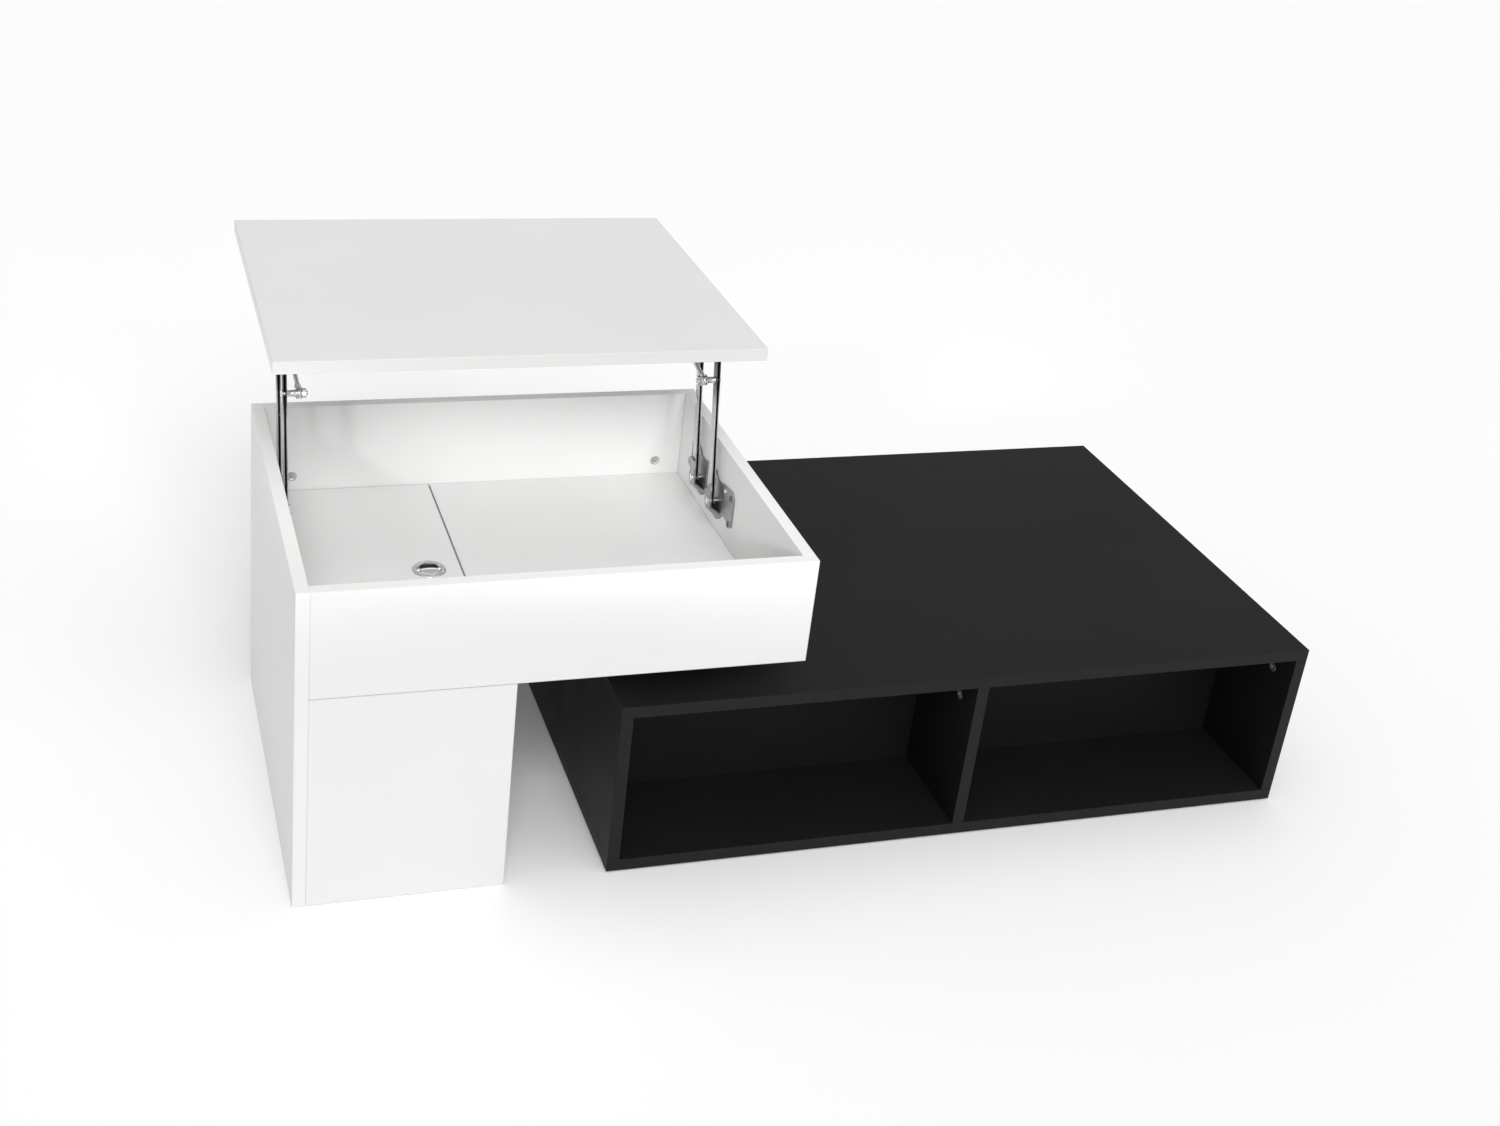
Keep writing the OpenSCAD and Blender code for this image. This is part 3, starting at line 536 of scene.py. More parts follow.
def handling_group():
    """Faint wiped patches and hairline rubs where hands and cloths have passed."""
    sheet, given, leave = start_group(
        "Handling marks", {"Patch scale": 7.0, "Rub scale": 60.0, "Amount": 1.0}, ("Patches", "Rubs"))
    point = object_point(sheet)
    patch = sheet.add("ShaderNodeTexNoise", {"Vector": point, "Scale": given["Patch scale"], "Detail": 6.0,
                                             "Roughness": 0.55, "Distortion": 0.8})
    patches = sheet.math("MULTIPLY", sheet.map(patch.outputs[0], 0.52, 0.72), given["Amount"])
    stretched = object_point(sheet, (0.25, 1.0, 1.0))
    rub = sheet.add("ShaderNodeTexNoise", {"Vector": stretched, "Scale": given["Rub scale"], "Detail": 8.0,
                                           "Roughness": 0.75, "Distortion": 1.5})
    rubs = sheet.math("MULTIPLY", sheet.map(rub.outputs[0], 0.66, 0.70), given["Amount"])
    return close_group(sheet, leave, {"Patches": patches, "Rubs": rubs})


def dust_group():
    """Specks that settle on faces turned up."""
    sheet, given, leave = start_group("Settled dust", {"Scale": 260.0, "Amount": 1.0}, ("Dust",))
    point = object_point(sheet)
    cells = sheet.add("ShaderNodeTexVoronoi", {"Vector": point, "Scale": given["Scale"]})
    specks = sheet.map(cells.outputs["Distance"], 0.13, 0.05)
    sparse = sheet.add("ShaderNodeTexNoise", {"Vector": point, "Scale": 30.0, "Detail": 3.0})
    normal = sheet.add("ShaderNodeNewGeometry").outputs["Normal"]
    upward = sheet.add("ShaderNodeSeparateXYZ", {0: normal}).outputs[2]
    upward = sheet.map(upward, 0.6, 1.0)
    dust = sheet.math("MULTIPLY", specks, sheet.map(sparse.outputs[0], 0.5, 0.65))
    dust = sheet.math("MULTIPLY", dust, upward)
    return close_group(sheet, leave, {"Dust": sheet.math("MULTIPLY", dust, given["Amount"])})


def rolled_metal_group():
    """Rolling lines along one direction and a broken scatter of fine scratches."""
    sheet, given, leave = start_group(
        "Rolled metal", {"Stretch": (1.0, 1.0, 0.03), "Line scale": 1600.0, "Scratch scale": 220.0},
        ("Lines", "Scratches", "Stain"))
    point = object_point(sheet)
    stretched = sheet.add(
        "ShaderNodeVectorMath", {0: point, 1: given["Stretch"]}, operation="MULTIPLY").outputs[0]
    lines = sheet.add("ShaderNodeTexNoise", {"Vector": stretched, "Scale": given["Line scale"],
                                             "Detail": 3.0})
    scratch = sheet.add("ShaderNodeTexNoise", {"Vector": stretched, "Scale": given["Scratch scale"],
                                               "Detail": 6.0, "Roughness": 0.8, "Distortion": 2.0})
    stain = sheet.add("ShaderNodeTexNoise", {"Vector": point, "Scale": 45.0, "Detail": 5.0})
    return close_group(sheet, leave, {
        "Lines": lines.outputs[0],
        "Scratches": sheet.map(scratch.outputs[0], 0.62, 0.66),
        "Stain": sheet.map(stain.outputs[0], 0.4, 0.68)})


def painted_lid_shade_group():
    """Painted shade: darkens the arms towards their upper pivots, where the lid shades them, with a noisy
    edge.
    """
    sheet, given, leave = start_group("Painted lid shade", {"Unshaded below": 0.452, "Fully shaded above": 0.478}, ("Film",))
    point = object_point(sheet)
    height = sheet.add("ShaderNodeSeparateXYZ", {"Vector": point}).outputs["Z"]
    shade_edge_noise = sheet.add("ShaderNodeTexNoise", {"Vector": point, "Scale": 260.0, "Detail": 4.0}).outputs[0]
    edge = sheet.math("ADD", height, sheet.map(shade_edge_noise, 0.3, 0.7, -3 * MM, 3 * MM))
    return close_group(sheet, leave, {"Film": sheet.map(edge, given["Unshaded below"], given["Fully shaded above"])})


class Finishes:
    """The effect groups and the materials, each made once."""

    def __init__(self):
        boards = bpy.context.scene.table_boards
        metals = bpy.context.scene.table_metals
        self.groups = {
            "grain": pressed_grain_group(),
            "handling": handling_group(),
            "dust": dust_group(),
            "rolled": rolled_metal_group(),
            "lid_shading": painted_lid_shade_group(),
        }
        self.white_face = self.laminate("White laminate", boards.white, 0.42, 0.35, 0.008, 0.02)
        self.white_band = self.laminate("White edge band", boards.white_band, 0.36, 0.35, 0.006, 0.015)
        self.white_seam = self.glue_line("White glue line", (0.42, 0.40, 0.37))
        self.black_face = self.laminate("Black laminate", boards.black, 0.52, 0.16, 0.004, 0.05)
        self.black_band = self.laminate("Black edge band", boards.black_band, 0.48, 0.14, 0.004, 0.04)
        self.black_seam = self.glue_line("Black glue line", (0.004, 0.004, 0.004))
        self.core = self.chipboard()
        # The arm steel carries the painted shade of the lid by its upper pivots
        self.arm = self.metal("Plated arm steel", metals.arm, 0.26, (1, 1, 0.03), 0.10, metals.lid_shading_strength)
        # Painted shade: near-black steel on the inner faces of the arm channels, for the shade inside them
        self.arm_inside_shade = self.metal("Arm channel painted shade", (0.05, 0.05, 0.05), 0.45, (1, 1, 0.03), 0.2)
        self.bracket = self.metal("Bracket steel", metals.bracket, 0.36, (1, 0.04, 1), 0.16)
        self.bright = self.metal("Bright turned steel", metals.bright, 0.16, (0.05, 1, 1), 0.05)
        self.rod = self.metal("Ground rod steel", metals.bright, 0.10, (1, 1, 1), 0.03)
        self.chrome = self.metal("Polished chrome", metals.bright, 0.12, (1, 1, 1), 0.04)
        # Rougher chrome for the cup's recess; its darker colour is painted shade
        self.recess = self.metal("Cup recess chrome with painted shade", (0.42, 0.42, 0.42), 0.30, (1, 1, 1), 0.10)
        self.zinc = self.metal("Cast zinc", metals.zinc, 0.42, (1, 1, 1), 0.2)
        self.screw = self.metal("Zinc plated screw", (0.42, 0.42, 0.40), 0.34, (1, 1, 1), 0.12)
        self.dark_screw = self.metal("Oiled screw", (0.20, 0.20, 0.20), 0.40, (1, 1, 1), 0.12)
        self.tube = self.paint("Black tube paint", metals.tube, 0.32)
        self.glide = self.moulded("Glide plastic", (0.03, 0.03, 0.03), 0.5)
        self.felt = self.felt_pad()
        self.beech = self.beech_wood()

    def begin(self, name, colour, roughness, metallic=0.0, specular=0.5):
        material = bpy.data.materials.new(name)
        material.use_nodes = True
        material.node_tree.nodes.clear()
        sheet = Sheet(material.node_tree)
        shader = sheet.add("ShaderNodeBsdfPrincipled", {
            "Base Color": (*colour, 1), "Roughness": roughness, "Metallic": metallic,
            "Specular IOR Level": specular})
        sheet.add("ShaderNodeOutputMaterial", {"Surface": shader.outputs[0]})
        material.diffuse_color = (*colour, 1)
        return material, sheet, shader

    def effect(self, sheet, group, values=None):
        node = sheet.add("ShaderNodeGroup", node_tree=self.groups[group])
        for socket, value in (values or {}).items():
            node.inputs[socket].default_value = value
        return node.outputs

    def link(self, sheet, value, shader, socket):
        sheet.tree.links.new(value, shader.inputs[socket])

    def bump(self, sheet, shader, height, distance, strength=1.0):
        node = sheet.add("ShaderNodeBump", {"Height": height, "Distance": distance, "Strength": strength})
        self.link(sheet, node.outputs[0], shader, "Normal")

    def laminate(self, name, colour, roughness, specular, mottle, dust):
        material, sheet, shader = self.begin(name, colour, roughness, 0, specular)
        grain = self.effect(sheet, "grain")
        marks = self.effect(sheet, "handling")
        specks = self.effect(sheet, "dust", {"Amount": dust})
        deeper = tuple(c * (1 - mottle * 2) for c in colour)
        tone = sheet.mix(grain["Cloud"], (*deeper, 1), (*colour, 1))
        tone = sheet.mix(sheet.math("MULTIPLY", marks["Patches"], mottle), tone, (0.5, 0.5, 0.5, 1))
        tone = sheet.mix(specks["Dust"], tone, (0.46, 0.45, 0.43, 1))
        self.link(sheet, tone, shader, "Base Color")
        rough = sheet.math("ADD", sheet.map(grain["Cloud"], 0, 1, roughness - 0.03, roughness + 0.03),
                           sheet.math("MULTIPLY", marks["Patches"], 0.06))
        rough = sheet.math("SUBTRACT", rough, sheet.math("MULTIPLY", marks["Rubs"], 0.05))
        self.link(sheet, rough, shader, "Roughness")
        self.bump(sheet, shader, grain["Height"], 0.02 * MM, 0.5)
        return material

    def glue_line(self, name, colour):
        material, sheet, shader = self.begin(name, colour, 0.8)
        grain = self.effect(sheet, "grain", {"Pearl scale": 3000.0, "Cloud scale": 90.0})
        tone = sheet.mix(grain["Cloud"], (*[c * 0.7 for c in colour], 1), (*colour, 1))
        self.link(sheet, tone, shader, "Base Color")
        return material

    def chipboard(self):
        material, sheet, shader = self.begin("Chipboard core", (0.46, 0.34, 0.21), 0.85)
        point = object_point(sheet)
        chips = sheet.add("ShaderNodeTexVoronoi", {"Vector": point, "Scale": 420.0})
        chips_tone = sheet.mix(chips.outputs["Color"], (0.30, 0.21, 0.12, 1), (0.60, 0.47, 0.31, 1))
        self.link(sheet, chips_tone, shader, "Base Color")
        self.bump(sheet, shader, chips.outputs["Distance"], 0.3 * MM)
        return material

    def metal(self, name, colour, roughness, stretch, stain, lid_shading_strength=0.0):
        material, sheet, shader = self.begin(name, colour, roughness, 1.0)
        rolled = self.effect(sheet, "rolled", {"Stretch": stretch})
        dull = tuple(c * (1 - stain * 1.6) for c in colour)
        tone = sheet.mix(rolled["Stain"], (*colour, 1), (*dull, 1))
        tone = sheet.mix(sheet.math("MULTIPLY", rolled["Scratches"], 0.3), tone, (0.85, 0.85, 0.85, 1))
        # Painted shade: the colour darkens towards the arms' upper pivots, where the lid shades them
        if lid_shading_strength > 0:
            lid_shading = self.effect(sheet, "lid_shading")["Film"]
            tone = sheet.mix(sheet.math("MULTIPLY", lid_shading, lid_shading_strength), tone, (0.03, 0.03, 0.03, 1))
        self.link(sheet, tone, shader, "Base Color")
        rough = sheet.math("ADD", sheet.map(rolled["Lines"], 0.3, 0.7, roughness * 0.8, roughness * 1.2),
                           sheet.math("MULTIPLY", rolled["Stain"], stain * 0.4))
        self.link(sheet, rough, shader, "Roughness")
        self.bump(sheet, shader, rolled["Lines"], 0.008 * MM, 0.6)
        return material

    def paint(self, name, colour, roughness):
        material, sheet, shader = self.begin(name, colour, roughness)
        grain = self.effect(sheet, "grain", {"Pearl scale": 700.0, "Cloud scale": 30.0})
        marks = self.effect(sheet, "handling", {"Patch scale": 40.0, "Rub scale": 300.0})
        tone = sheet.mix(sheet.math("MULTIPLY", marks["Rubs"], 0.35), (*colour, 1), (0.12, 0.12, 0.12, 1))
        self.link(sheet, tone, shader, "Base Color")
        self.link(sheet, sheet.map(marks["Patches"], 0, 1, roughness, roughness + 0.12), shader, "Roughness")
        self.bump(sheet, shader, grain["Height"], 0.03 * MM, 0.5)
        return material

    def moulded(self, name, colour, roughness):
        material, sheet, shader = self.begin(name, colour, roughness)
        grain = self.effect(sheet, "grain", {"Pearl scale": 1800.0, "Cloud scale": 60.0})
        tone = sheet.mix(grain["Cloud"], (*[c * 0.8 for c in colour], 1), (*[c * 1.3 for c in colour], 1))
        self.link(sheet, tone, shader, "Base Color")
        self.link(sheet, sheet.map(grain["Cloud"], 0, 1, roughness - 0.06, roughness + 0.06), shader,
                  "Roughness")
        self.bump(sheet, shader, grain["Height"], 0.05 * MM, 0.6)
        return material

    def felt_pad(self):
        material, sheet, shader = self.begin("Grey felt", (0.17, 0.17, 0.17), 0.95, 0, 0.1)
        shader.inputs["Sheen Weight"].default_value = 0.4
        point = object_point(sheet)
        fibre = sheet.add("ShaderNodeTexNoise", {"Vector": point, "Scale": 900.0, "Detail": 8.0,
                                                 "Roughness": 0.8, "Distortion": 3.0})
        tone = sheet.mix(fibre.outputs[0], (0.09, 0.09, 0.09, 1), (0.28, 0.28, 0.27, 1))
        self.link(sheet, tone, shader, "Base Color")
        self.bump(sheet, shader, fibre.outputs[0], 0.4 * MM)
        return material

    def beech_wood(self):
        material, sheet, shader = self.begin("Beech", (0.60, 0.42, 0.25), 0.6)
        point = object_point(sheet, (0.2, 1.0, 1.0))
        rings = sheet.add("ShaderNodeTexNoise", {"Vector": point, "Scale": 260.0, "Detail": 5.0,
                                                 "Distortion": 0.6})
        flecks = sheet.add("ShaderNodeTexNoise", {"Vector": point, "Scale": 1500.0, "Detail": 2.0})
        tone = sheet.mix(rings.outputs[0], (0.47, 0.31, 0.17, 1), (0.70, 0.52, 0.33, 1))
        tone = sheet.mix(sheet.map(flecks.outputs[0], 0.6, 0.7), tone, (0.36, 0.22, 0.12, 1))
        self.link(sheet, tone, shader, "Base Color")
        self.bump(sheet, shader, rings.outputs[0], 0.1 * MM)
        return material


_made = {}


def finishes():
    if "finishes" not in _made:
        _made["finishes"] = Finishes()
    return _made["finishes"]


# --- Boards

def board_finish(kind):
    made = finishes()
    if kind == "white":
        return [made.white_face, made.white_band, made.white_seam, made.core]
    return [made.black_face, made.black_band, made.black_seam, made.core]


def make_board(name, low, high, kind):
    """A laminated board: eased edges, edge bands and the fine glue line round each large face."""
    settings = bpy.context.scene.table_boards
    bm = bmesh.new()
    add_block(bm, low, high)
    bmesh.ops.bevel(bm, geom=bm.edges[:], offset=settings.ease, segments=3, profile=0.5,
                    affect="EDGES", clamp_overlap=True)
    size = Vector(high) - Vector(low)
    thin = min(range(3), key=lambda k: size[k])
    large = [f for f in bm.faces if abs(f.normal[thin]) > 0.999]
    for face in bm.faces:
        flat = max(abs(c) for c in face.normal) > 0.9999
        face.smooth = not flat
        face.material_index = 0 if face in large else 1
    rims = bmesh.ops.inset_individual(bm, faces=large, thickness=settings.seam,
                                      depth=-settings.seam / 3, use_even_offset=True)["faces"]
    for face in rims:
        face.material_index = 2
        face.smooth = False
    return new_object(name, bm, board_finish(kind))


def inside_box(point, box, slack=0.1 * MM):
    return all(box[0][k] - slack <= point[k] <= box[1][k] + slack for k in range(3))


def cam_places(node):
    """Matrix of each cam lock in a node, with Z out of its board's face."""
    boards = [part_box(n) for n in (*WHITE_BOARDS, *BLACK_BOARDS)]
    places = []
    for low, high in node_solids(node):
        size = high - low
        axis = min(range(3), key=lambda k: size[k])
        centre = (low + high) / 2
        for board_low, board_high in boards:
            thick = board_high[axis] - board_low[axis]
            if thick < THICKEST_BOARD and inside_box(centre, (board_low, board_high), NEAR):
                sign = 1 if abs(high[axis] - board_high[axis]) < NEAR else -1
                spot = centre.copy()
                spot[axis] = high[axis] if sign > 0 else low[axis]
                places.append(along(spot, AXES[axis] * sign))
                break
    return places


def drill(board, places, radius, depth):
    """Blind holes in a board, with the core's colour inside."""
    if not places:
        return
    bm = bmesh.new()
    for place in places:
        add_lathe(bm, [(0, -depth), (radius, -depth), (radius, MM), (0, MM)], 48, place, 3)
    for face in bm.faces:
        face.smooth = False
    cutter = new_object("drill", bm, board_finish("white"))
    cut(board, cutter)


def make_cam_board(node, name, kind, places, body):
    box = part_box(node)
    board = make_board(name, *box, kind)
    drill(board, [m for m in places if inside_box(m.translation, box)], CAM_BORE_R, CAM_BORE_DEPTH)
    settle(board, body, [node])


def cam_mesh(radius, depth):
    """Die-cast cam lock: dished face, raised rim, cross recess and a pointer notch."""
    bm = bmesh.new()
    add_lathe(bm, [
        (0, -depth), (radius * 0.97, -depth), (radius, -depth + 0.3 * MM), (radius, -0.45 * MM),
        (radius * 0.965, -0.12 * MM), (radius * 0.9, 0), (radius * 0.82, -0.1 * MM),
        (radius * 0.76, -0.35 * MM), (0, -0.4 * MM)], 48)
    cam = new_object("cam", bm, [finishes().zinc])
    bm = bmesh.new()
    for turn in (0, 90):
        matrix = Matrix.Rotation(math.radians(turn + 20), 4, "Z")
        verts = add_block(bm, (-radius * 0.56, -0.75 * MM, -2.6 * MM), (radius * 0.56, 0.75 * MM, MM))
        for vert in verts:
            if vert.co.z < 0:
                vert.co.x *= 0.45
        bmesh.ops.transform(bm, matrix=matrix, verts=verts)
    cut(cam, new_object("cross", bm, []))
    bm = bmesh.new()
    verts = add_block(bm, (radius * 0.66, -0.5 * MM, -0.7 * MM), (radius * 1.1, 0.5 * MM, MM))
    bmesh.ops.transform(bm, matrix=Matrix.Rotation(math.radians(65), 4, "Z"), verts=verts)
    cut(cam, new_object("pointer", bm, []))
    shade(cam, 40)
    return take_mesh(cam)


def make_cams(node, name, body):
    places = cam_places(node)
    if not places:
        raise RuntimeError("no cam lock was found in " + node)
    piece = join_copies(name, cam_mesh(CAM_R, CAM_DEPTH), places, [finishes().zinc])
    settle(piece, body, [node])
    return places


def screw_mesh(finish, head_radius, head_height, shank_radius, shank_length):
    """Pan head screw with a cross recess, its head standing up from z = 0."""
    bm = bmesh.new()
    add_lathe(bm, [
        (0, -shank_length), (shank_radius * 0.3, -shank_length + MM),
        (shank_radius, -shank_length + 3 * MM), (shank_radius, 0), (head_radius * 0.98, 0),
        (head_radius, head_height * 0.2), (head_radius * 0.95, head_height * 0.5),
        (head_radius * 0.8, head_height * 0.8), (head_radius * 0.55, head_height * 0.95),
        (0, head_height)], 36)
    screw = new_object("screw", bm, [finish])
    bm = bmesh.new()
    for turn in (0, 90):
        verts = add_block(bm, (-head_radius * 0.58, -0.45 * MM, head_height * 0.1),
                          (head_radius * 0.58, 0.45 * MM, head_height + MM))
        for vert in verts:
            if vert.co.z < head_height * 0.5:
                vert.co.x *= 0.4
        bmesh.ops.transform(bm, matrix=Matrix.Rotation(math.radians(turn), 4, "Z"), verts=verts)
    cut(screw, new_object("cross", bm, []))
    shade(screw, 38)
    return take_mesh(screw)


def make_screws(node, name, body, direction, finish, sizes=BOARD_SCREW):
    """Screws in place of a node's own. direction(box middle) gives the way that a head faces."""
    places = []
    for n, (low, high) in enumerate(node_solids(node)):
        centre = (low + high) / 2
        out = Vector(direction(centre))
        reach = abs(sum((high - low)[k] * abs(out[k]) for k in range(3))) / 2
        turn = Matrix.Rotation(math.radians(37 * n % 90), 4, "Z")
        places.append(along(centre + out * (reach - sizes[1]), out) @ turn)
    piece = join_copies(name, screw_mesh(finish, *sizes), places, [finish])
    settle(piece, body, [node])


def clad(node, material):
    """Gives a CAD node that keeps its own shape a better finish."""
    mesh = frame["nodes"][node].data
    for n in range(len(mesh.materials)):
        mesh.materials[n] = material
    if not mesh.materials:
        mesh.materials.append(material)


# --- Lift hardware

def channel_outline(half, reach):
    """Section of a bent channel, and which of its points lie inside the channel."""
    inner_half = half - ARM_SHEET
    inner_reach = reach - ARM_SHEET
    bend = ARM_SHEET + ARM_BEND
    corners = [
        (-half, -reach, 0), (-half, reach, bend), (half, reach, bend), (half, -reach, 0),
        (inner_half, -reach, 0), (inner_half, inner_reach, bend - ARM_SHEET),
        (-inner_half, inner_reach, bend - ARM_SHEET), (-inner_half, -reach, 0)]
    points = []
    inside = []
    for n, (x, y, radius) in enumerate(corners):
        corner = Vector((x, y))
        before = (Vector(corners[n - 1][:2]) - corner).normalized() * radius
        after = (Vector(corners[(n + 1) % len(corners)][:2]) - corner).normalized() * radius
        centre = corner + before + after
        steps = 7 if radius else 1
        for k in range(steps):
            turn = math.pi / 2 * k / max(steps - 1, 1)
            points.append(centre - after * math.cos(turn) - before * math.sin(turn))
            inside.append(n > 3)
    return points, inside


def make_arm(node, name, body, lower, upper, stud_way=0, stud_at=0.0):
    """Pressed channel with round bends, open to the front, bored at both pivots.

    stud_way is the flange that a stud goes through, as -1 or 1 along X, or 0 for no stud, and stud_at is
    how far up the arm it sits.
    """
    made = finishes()
    low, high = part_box(node)
    rise = upper - lower
    length = rise.length
    half = (high.x - low.x) / 2
    reach = (high.y - low.y - rise.y) / 2
    outline, inside = channel_outline(half, reach)
    bm = bmesh.new()
    ends = [[bm.verts.new((p[0], p[1], z)) for p in outline] for z in (-reach, length + reach)]
    bm.faces.new(list(reversed(ends[0])))
    bm.faces.new(ends[1])
    # Inner faces of the channel take the near-black painted-shade steel
    for n, face in enumerate(bridge(bm, ends)):
        face.material_index = 1 if inside[n] and inside[(n + 1) % len(inside)] else 0
    bmesh.ops.recalc_face_normals(bm, faces=bm.faces)
    arm = new_object(name, bm, [made.arm, made.arm_inside_shade])
    bm = bmesh.new()
    add_stack(bm, [[bm.verts.new((x, *p)) for p in stadium(reach, length)] for x in (-2 * half, 2 * half)])
    cut(arm, new_object("ends", bm, []), "INTERSECT")
    bm = bmesh.new()
    for z in (0, length):
        add_rod(bm, (-2 * half, 0, z), (2 * half, 0, z), PIVOT_BORE_R)
    if stud_way:
        add_rod(bm, (0, 0, stud_at), (stud_way * 2 * half, 0, stud_at), STUD_BORE_R)
    cut(arm, new_object("bores", bm, []))
    flat_faces(arm)
    ease_edges(arm, ARM_EDGE, 2, 50)
    even_normals(shade(arm, 50))
    arm.data.transform(along((middle(node).x, lower.y, lower.z), rise, (0, 1, 0)))
    settle(arm, body, [node])


def stadium(radius, length, steps=20):
    """Outline of a bar with round ends, from z = 0 to z = length, slightly wider than the bar."""
    turns = [math.pi * (k / steps - 0.5) for k in range(steps + 1)]
    wide = radius * 1.001
    points = [(-math.sin(t) * wide, length + math.cos(t) * radius) for t in turns]
    return points + [(math.sin(t) * wide, -math.cos(t) * radius) for t in turns]


def pivot(joint):
    return Vector(JOINTS[joint]["pos_m"])


def strut_ends(side):
    """Middles of a strut's front eye and of its rear pin."""
    x = middle("strut_rod_" + side).x
    low, high = node_solids("strut_end_pins")[SIDES.index(side)]
    front = pivot("strut_pivot")
    rear = (low + high) / 2
    return Vector((x, front.y, front.z)), Vector((x, rear.y, rear.z))


def inward(point):
    """Which way along X leads from a point to the middle of the lid, as 1 or -1."""
    return 1 if point.x < middle("lid_panel").x else -1


def crosswise(node, axis=None):
    """Place and size of each of a node's solids that lie along X, with Z from the outer end inward.

    axis is a point that they are centred on; without it they keep their own middles.
    """
    places = []
    for low, high in node_solids(node):
        centre = (low + high) / 2
        way = inward(centre)
        line = centre if axis is None else axis
        start = (low.x if way > 0 else high.x, line.y, line.z)
        places.append((along(start, (way, 0, 0)), high - low))
    return places


def make_rivets(node, name, body):
    """Rivets along X with turned heads on their inner ends, in place of a node's own."""
    bm = bmesh.new()
    for place, size in crosswise(node):
        head = size.y / 2
        shank = 0.5 * head
        neck = size.x - RIVET_HEAD
        add_lathe(bm, [
            (0, 0), (shank, 0), (shank, neck), (head * 0.98, neck), (head, neck + RIVET_HEAD * 0.1),
            (head * 0.97, neck + RIVET_HEAD * 0.4), (head * 0.85, neck + RIVET_HEAD * 0.7),
            (head * 0.62, neck + RIVET_HEAD * 0.9), (head * 0.35, size.x), (0, size.x)], 40, place)
    settle(shade(new_object(name, bm, [finishes().bright]), 50), body, [node])


def turn_upright(node, profile, segments):
    """Turns a node's upright round solids anew. profile(radius, low z, high z) gives the outline."""
    bm = bmesh.new()
    for low, high in node_solids(node):
        centre = (low + high) / 2
        place = Matrix.Translation((centre.x, centre.y, 0))
        add_lathe(bm, profile((high.x - low.x) / 2, low.z, high.z), segments, place)
    return bm


# --- Operators

class TABLE_OT_white_cabinet(bpy.types.Operator):
    """Build the white boards of the cabinet and their cam locks"""
    bl_idname = "table.white_cabinet"
    bl_label = "White cabinet"

    def execute(self, context):
        places = make_cams("white_cam_locks", "white_cams", "cabinet")
        for node, name in WHITE_BOARDS.items():
            make_cam_board(node, name, "white", places, "cabinet")
        cleats = [make_board("cleat", low, high, "white") for low, high in node_solids("hatch_cleats")]
        bm = bmesh.new()
        for cleat in cleats:
            bm.from_mesh(cleat.data)
            remove_object(cleat)
        settle(new_object("hatch_cleat_pair", bm, board_finish("white")), "cabinet", ["hatch_cleats"])
        clad("white_cam_bolts", finishes().zinc)
        clad("white_dowels", finishes().beech)
        return {"FINISHED"}


class TABLE_OT_lid(bpy.types.Operator):
    """Build the lid board"""
    bl_idname = "table.lid"
    bl_label = "Lid"

    def execute(self, context):
        settle(make_board("lid_board", *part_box("lid_panel"), "white"), "lift_top", ["lid_panel"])
        return {"FINISHED"}


class TABLE_OT_low_cabinet(bpy.types.Operator):
    """Build the black boards of the low cabinet, their cam locks and the glides"""
    bl_idname = "table.low_cabinet"
    bl_label = "Low cabinet"

    def execute(self, context):
        made = finishes()
        places = make_cams("low_cam_locks", "low_cams", "low_cabinet")
        for node, name in BLACK_BOARDS.items():
            make_cam_board(node, name, "black", places, "low_cabinet")
        bm = turn_upright("low_glides", lambda radius, low, high: [
            (0, low), (radius - 0.8 * MM, low), (radius - 0.2 * MM, low + 0.3 * MM),
            (radius, low + 0.9 * MM), (radius, high), (0, high)], 40)
        settle(shade(new_object("low_cabinet_glides", bm, [made.glide])), "low_cabinet", ["low_glides"])
        clad("low_cam_bolts", made.zinc)
        clad("low_dowels", made.beech)
        clad("low_bottom_screws", made.screw)
        return {"FINISHED"}


class TABLE_OT_feet(bpy.types.Operator):
    """Build the two feet that carry the tray on the low cabinet, and their felt pads"""
    bl_idname = "table.feet"
    bl_label = "Support feet"

    def execute(self, context):
        made = finishes()
        bm = turn_upright("support_feet", lambda radius, low, high: [
            (0, low), (radius - 0.8 * MM, low), (radius, low + 0.8 * MM),
            (radius, high - 0.2 * MM), (radius - 0.2 * MM, high), (0, high)], 64)
        settle(shade(new_object("tray_feet", bm, [made.white_face])), "cabinet", ["support_feet"])
        bm = turn_upright("foot_pads", lambda radius, low, high: [
            (0, low), (radius - 0.6 * MM, low), (radius, low + 0.3 * (high - low)),
            (radius, low + 0.7 * (high - low)), (radius - 0.4 * MM, high), (0, high)], 64)
        settle(shade(new_object("felt_pads", bm, [made.felt])), "cabinet", ["foot_pads"])
        clad("foot_screws", made.screw)
        return {"FINISHED"}


class TABLE_OT_arms(bpy.types.Operator):
    """Build the four lift arms"""
    bl_idname = "table.arms"
    bl_label = "Lift arms"

    def execute(self, context):
        front = pivot("lift")
        reach = pivot("lid_pivot") - front
        rear = pivot("rear_arm_pivot")
        low, high = node_solids("arm_studs")[0]
        stud_at = (((low + high) / 2).yz - rear.yz).length
        for side in SIDES:
            make_arm("front_arm_" + side, "front_arm_channel_" + side, "front_arms", front, front + reach)
            make_arm("rear_arm_" + side, "rear_arm_channel_" + side, "rear_arms", rear, rear + reach,
                     inward(middle("rear_arm_" + side)), stud_at)
        make_rivets("arm_studs", "arm_stud_pair", "rear_arms")
        return {"FINISHED"}


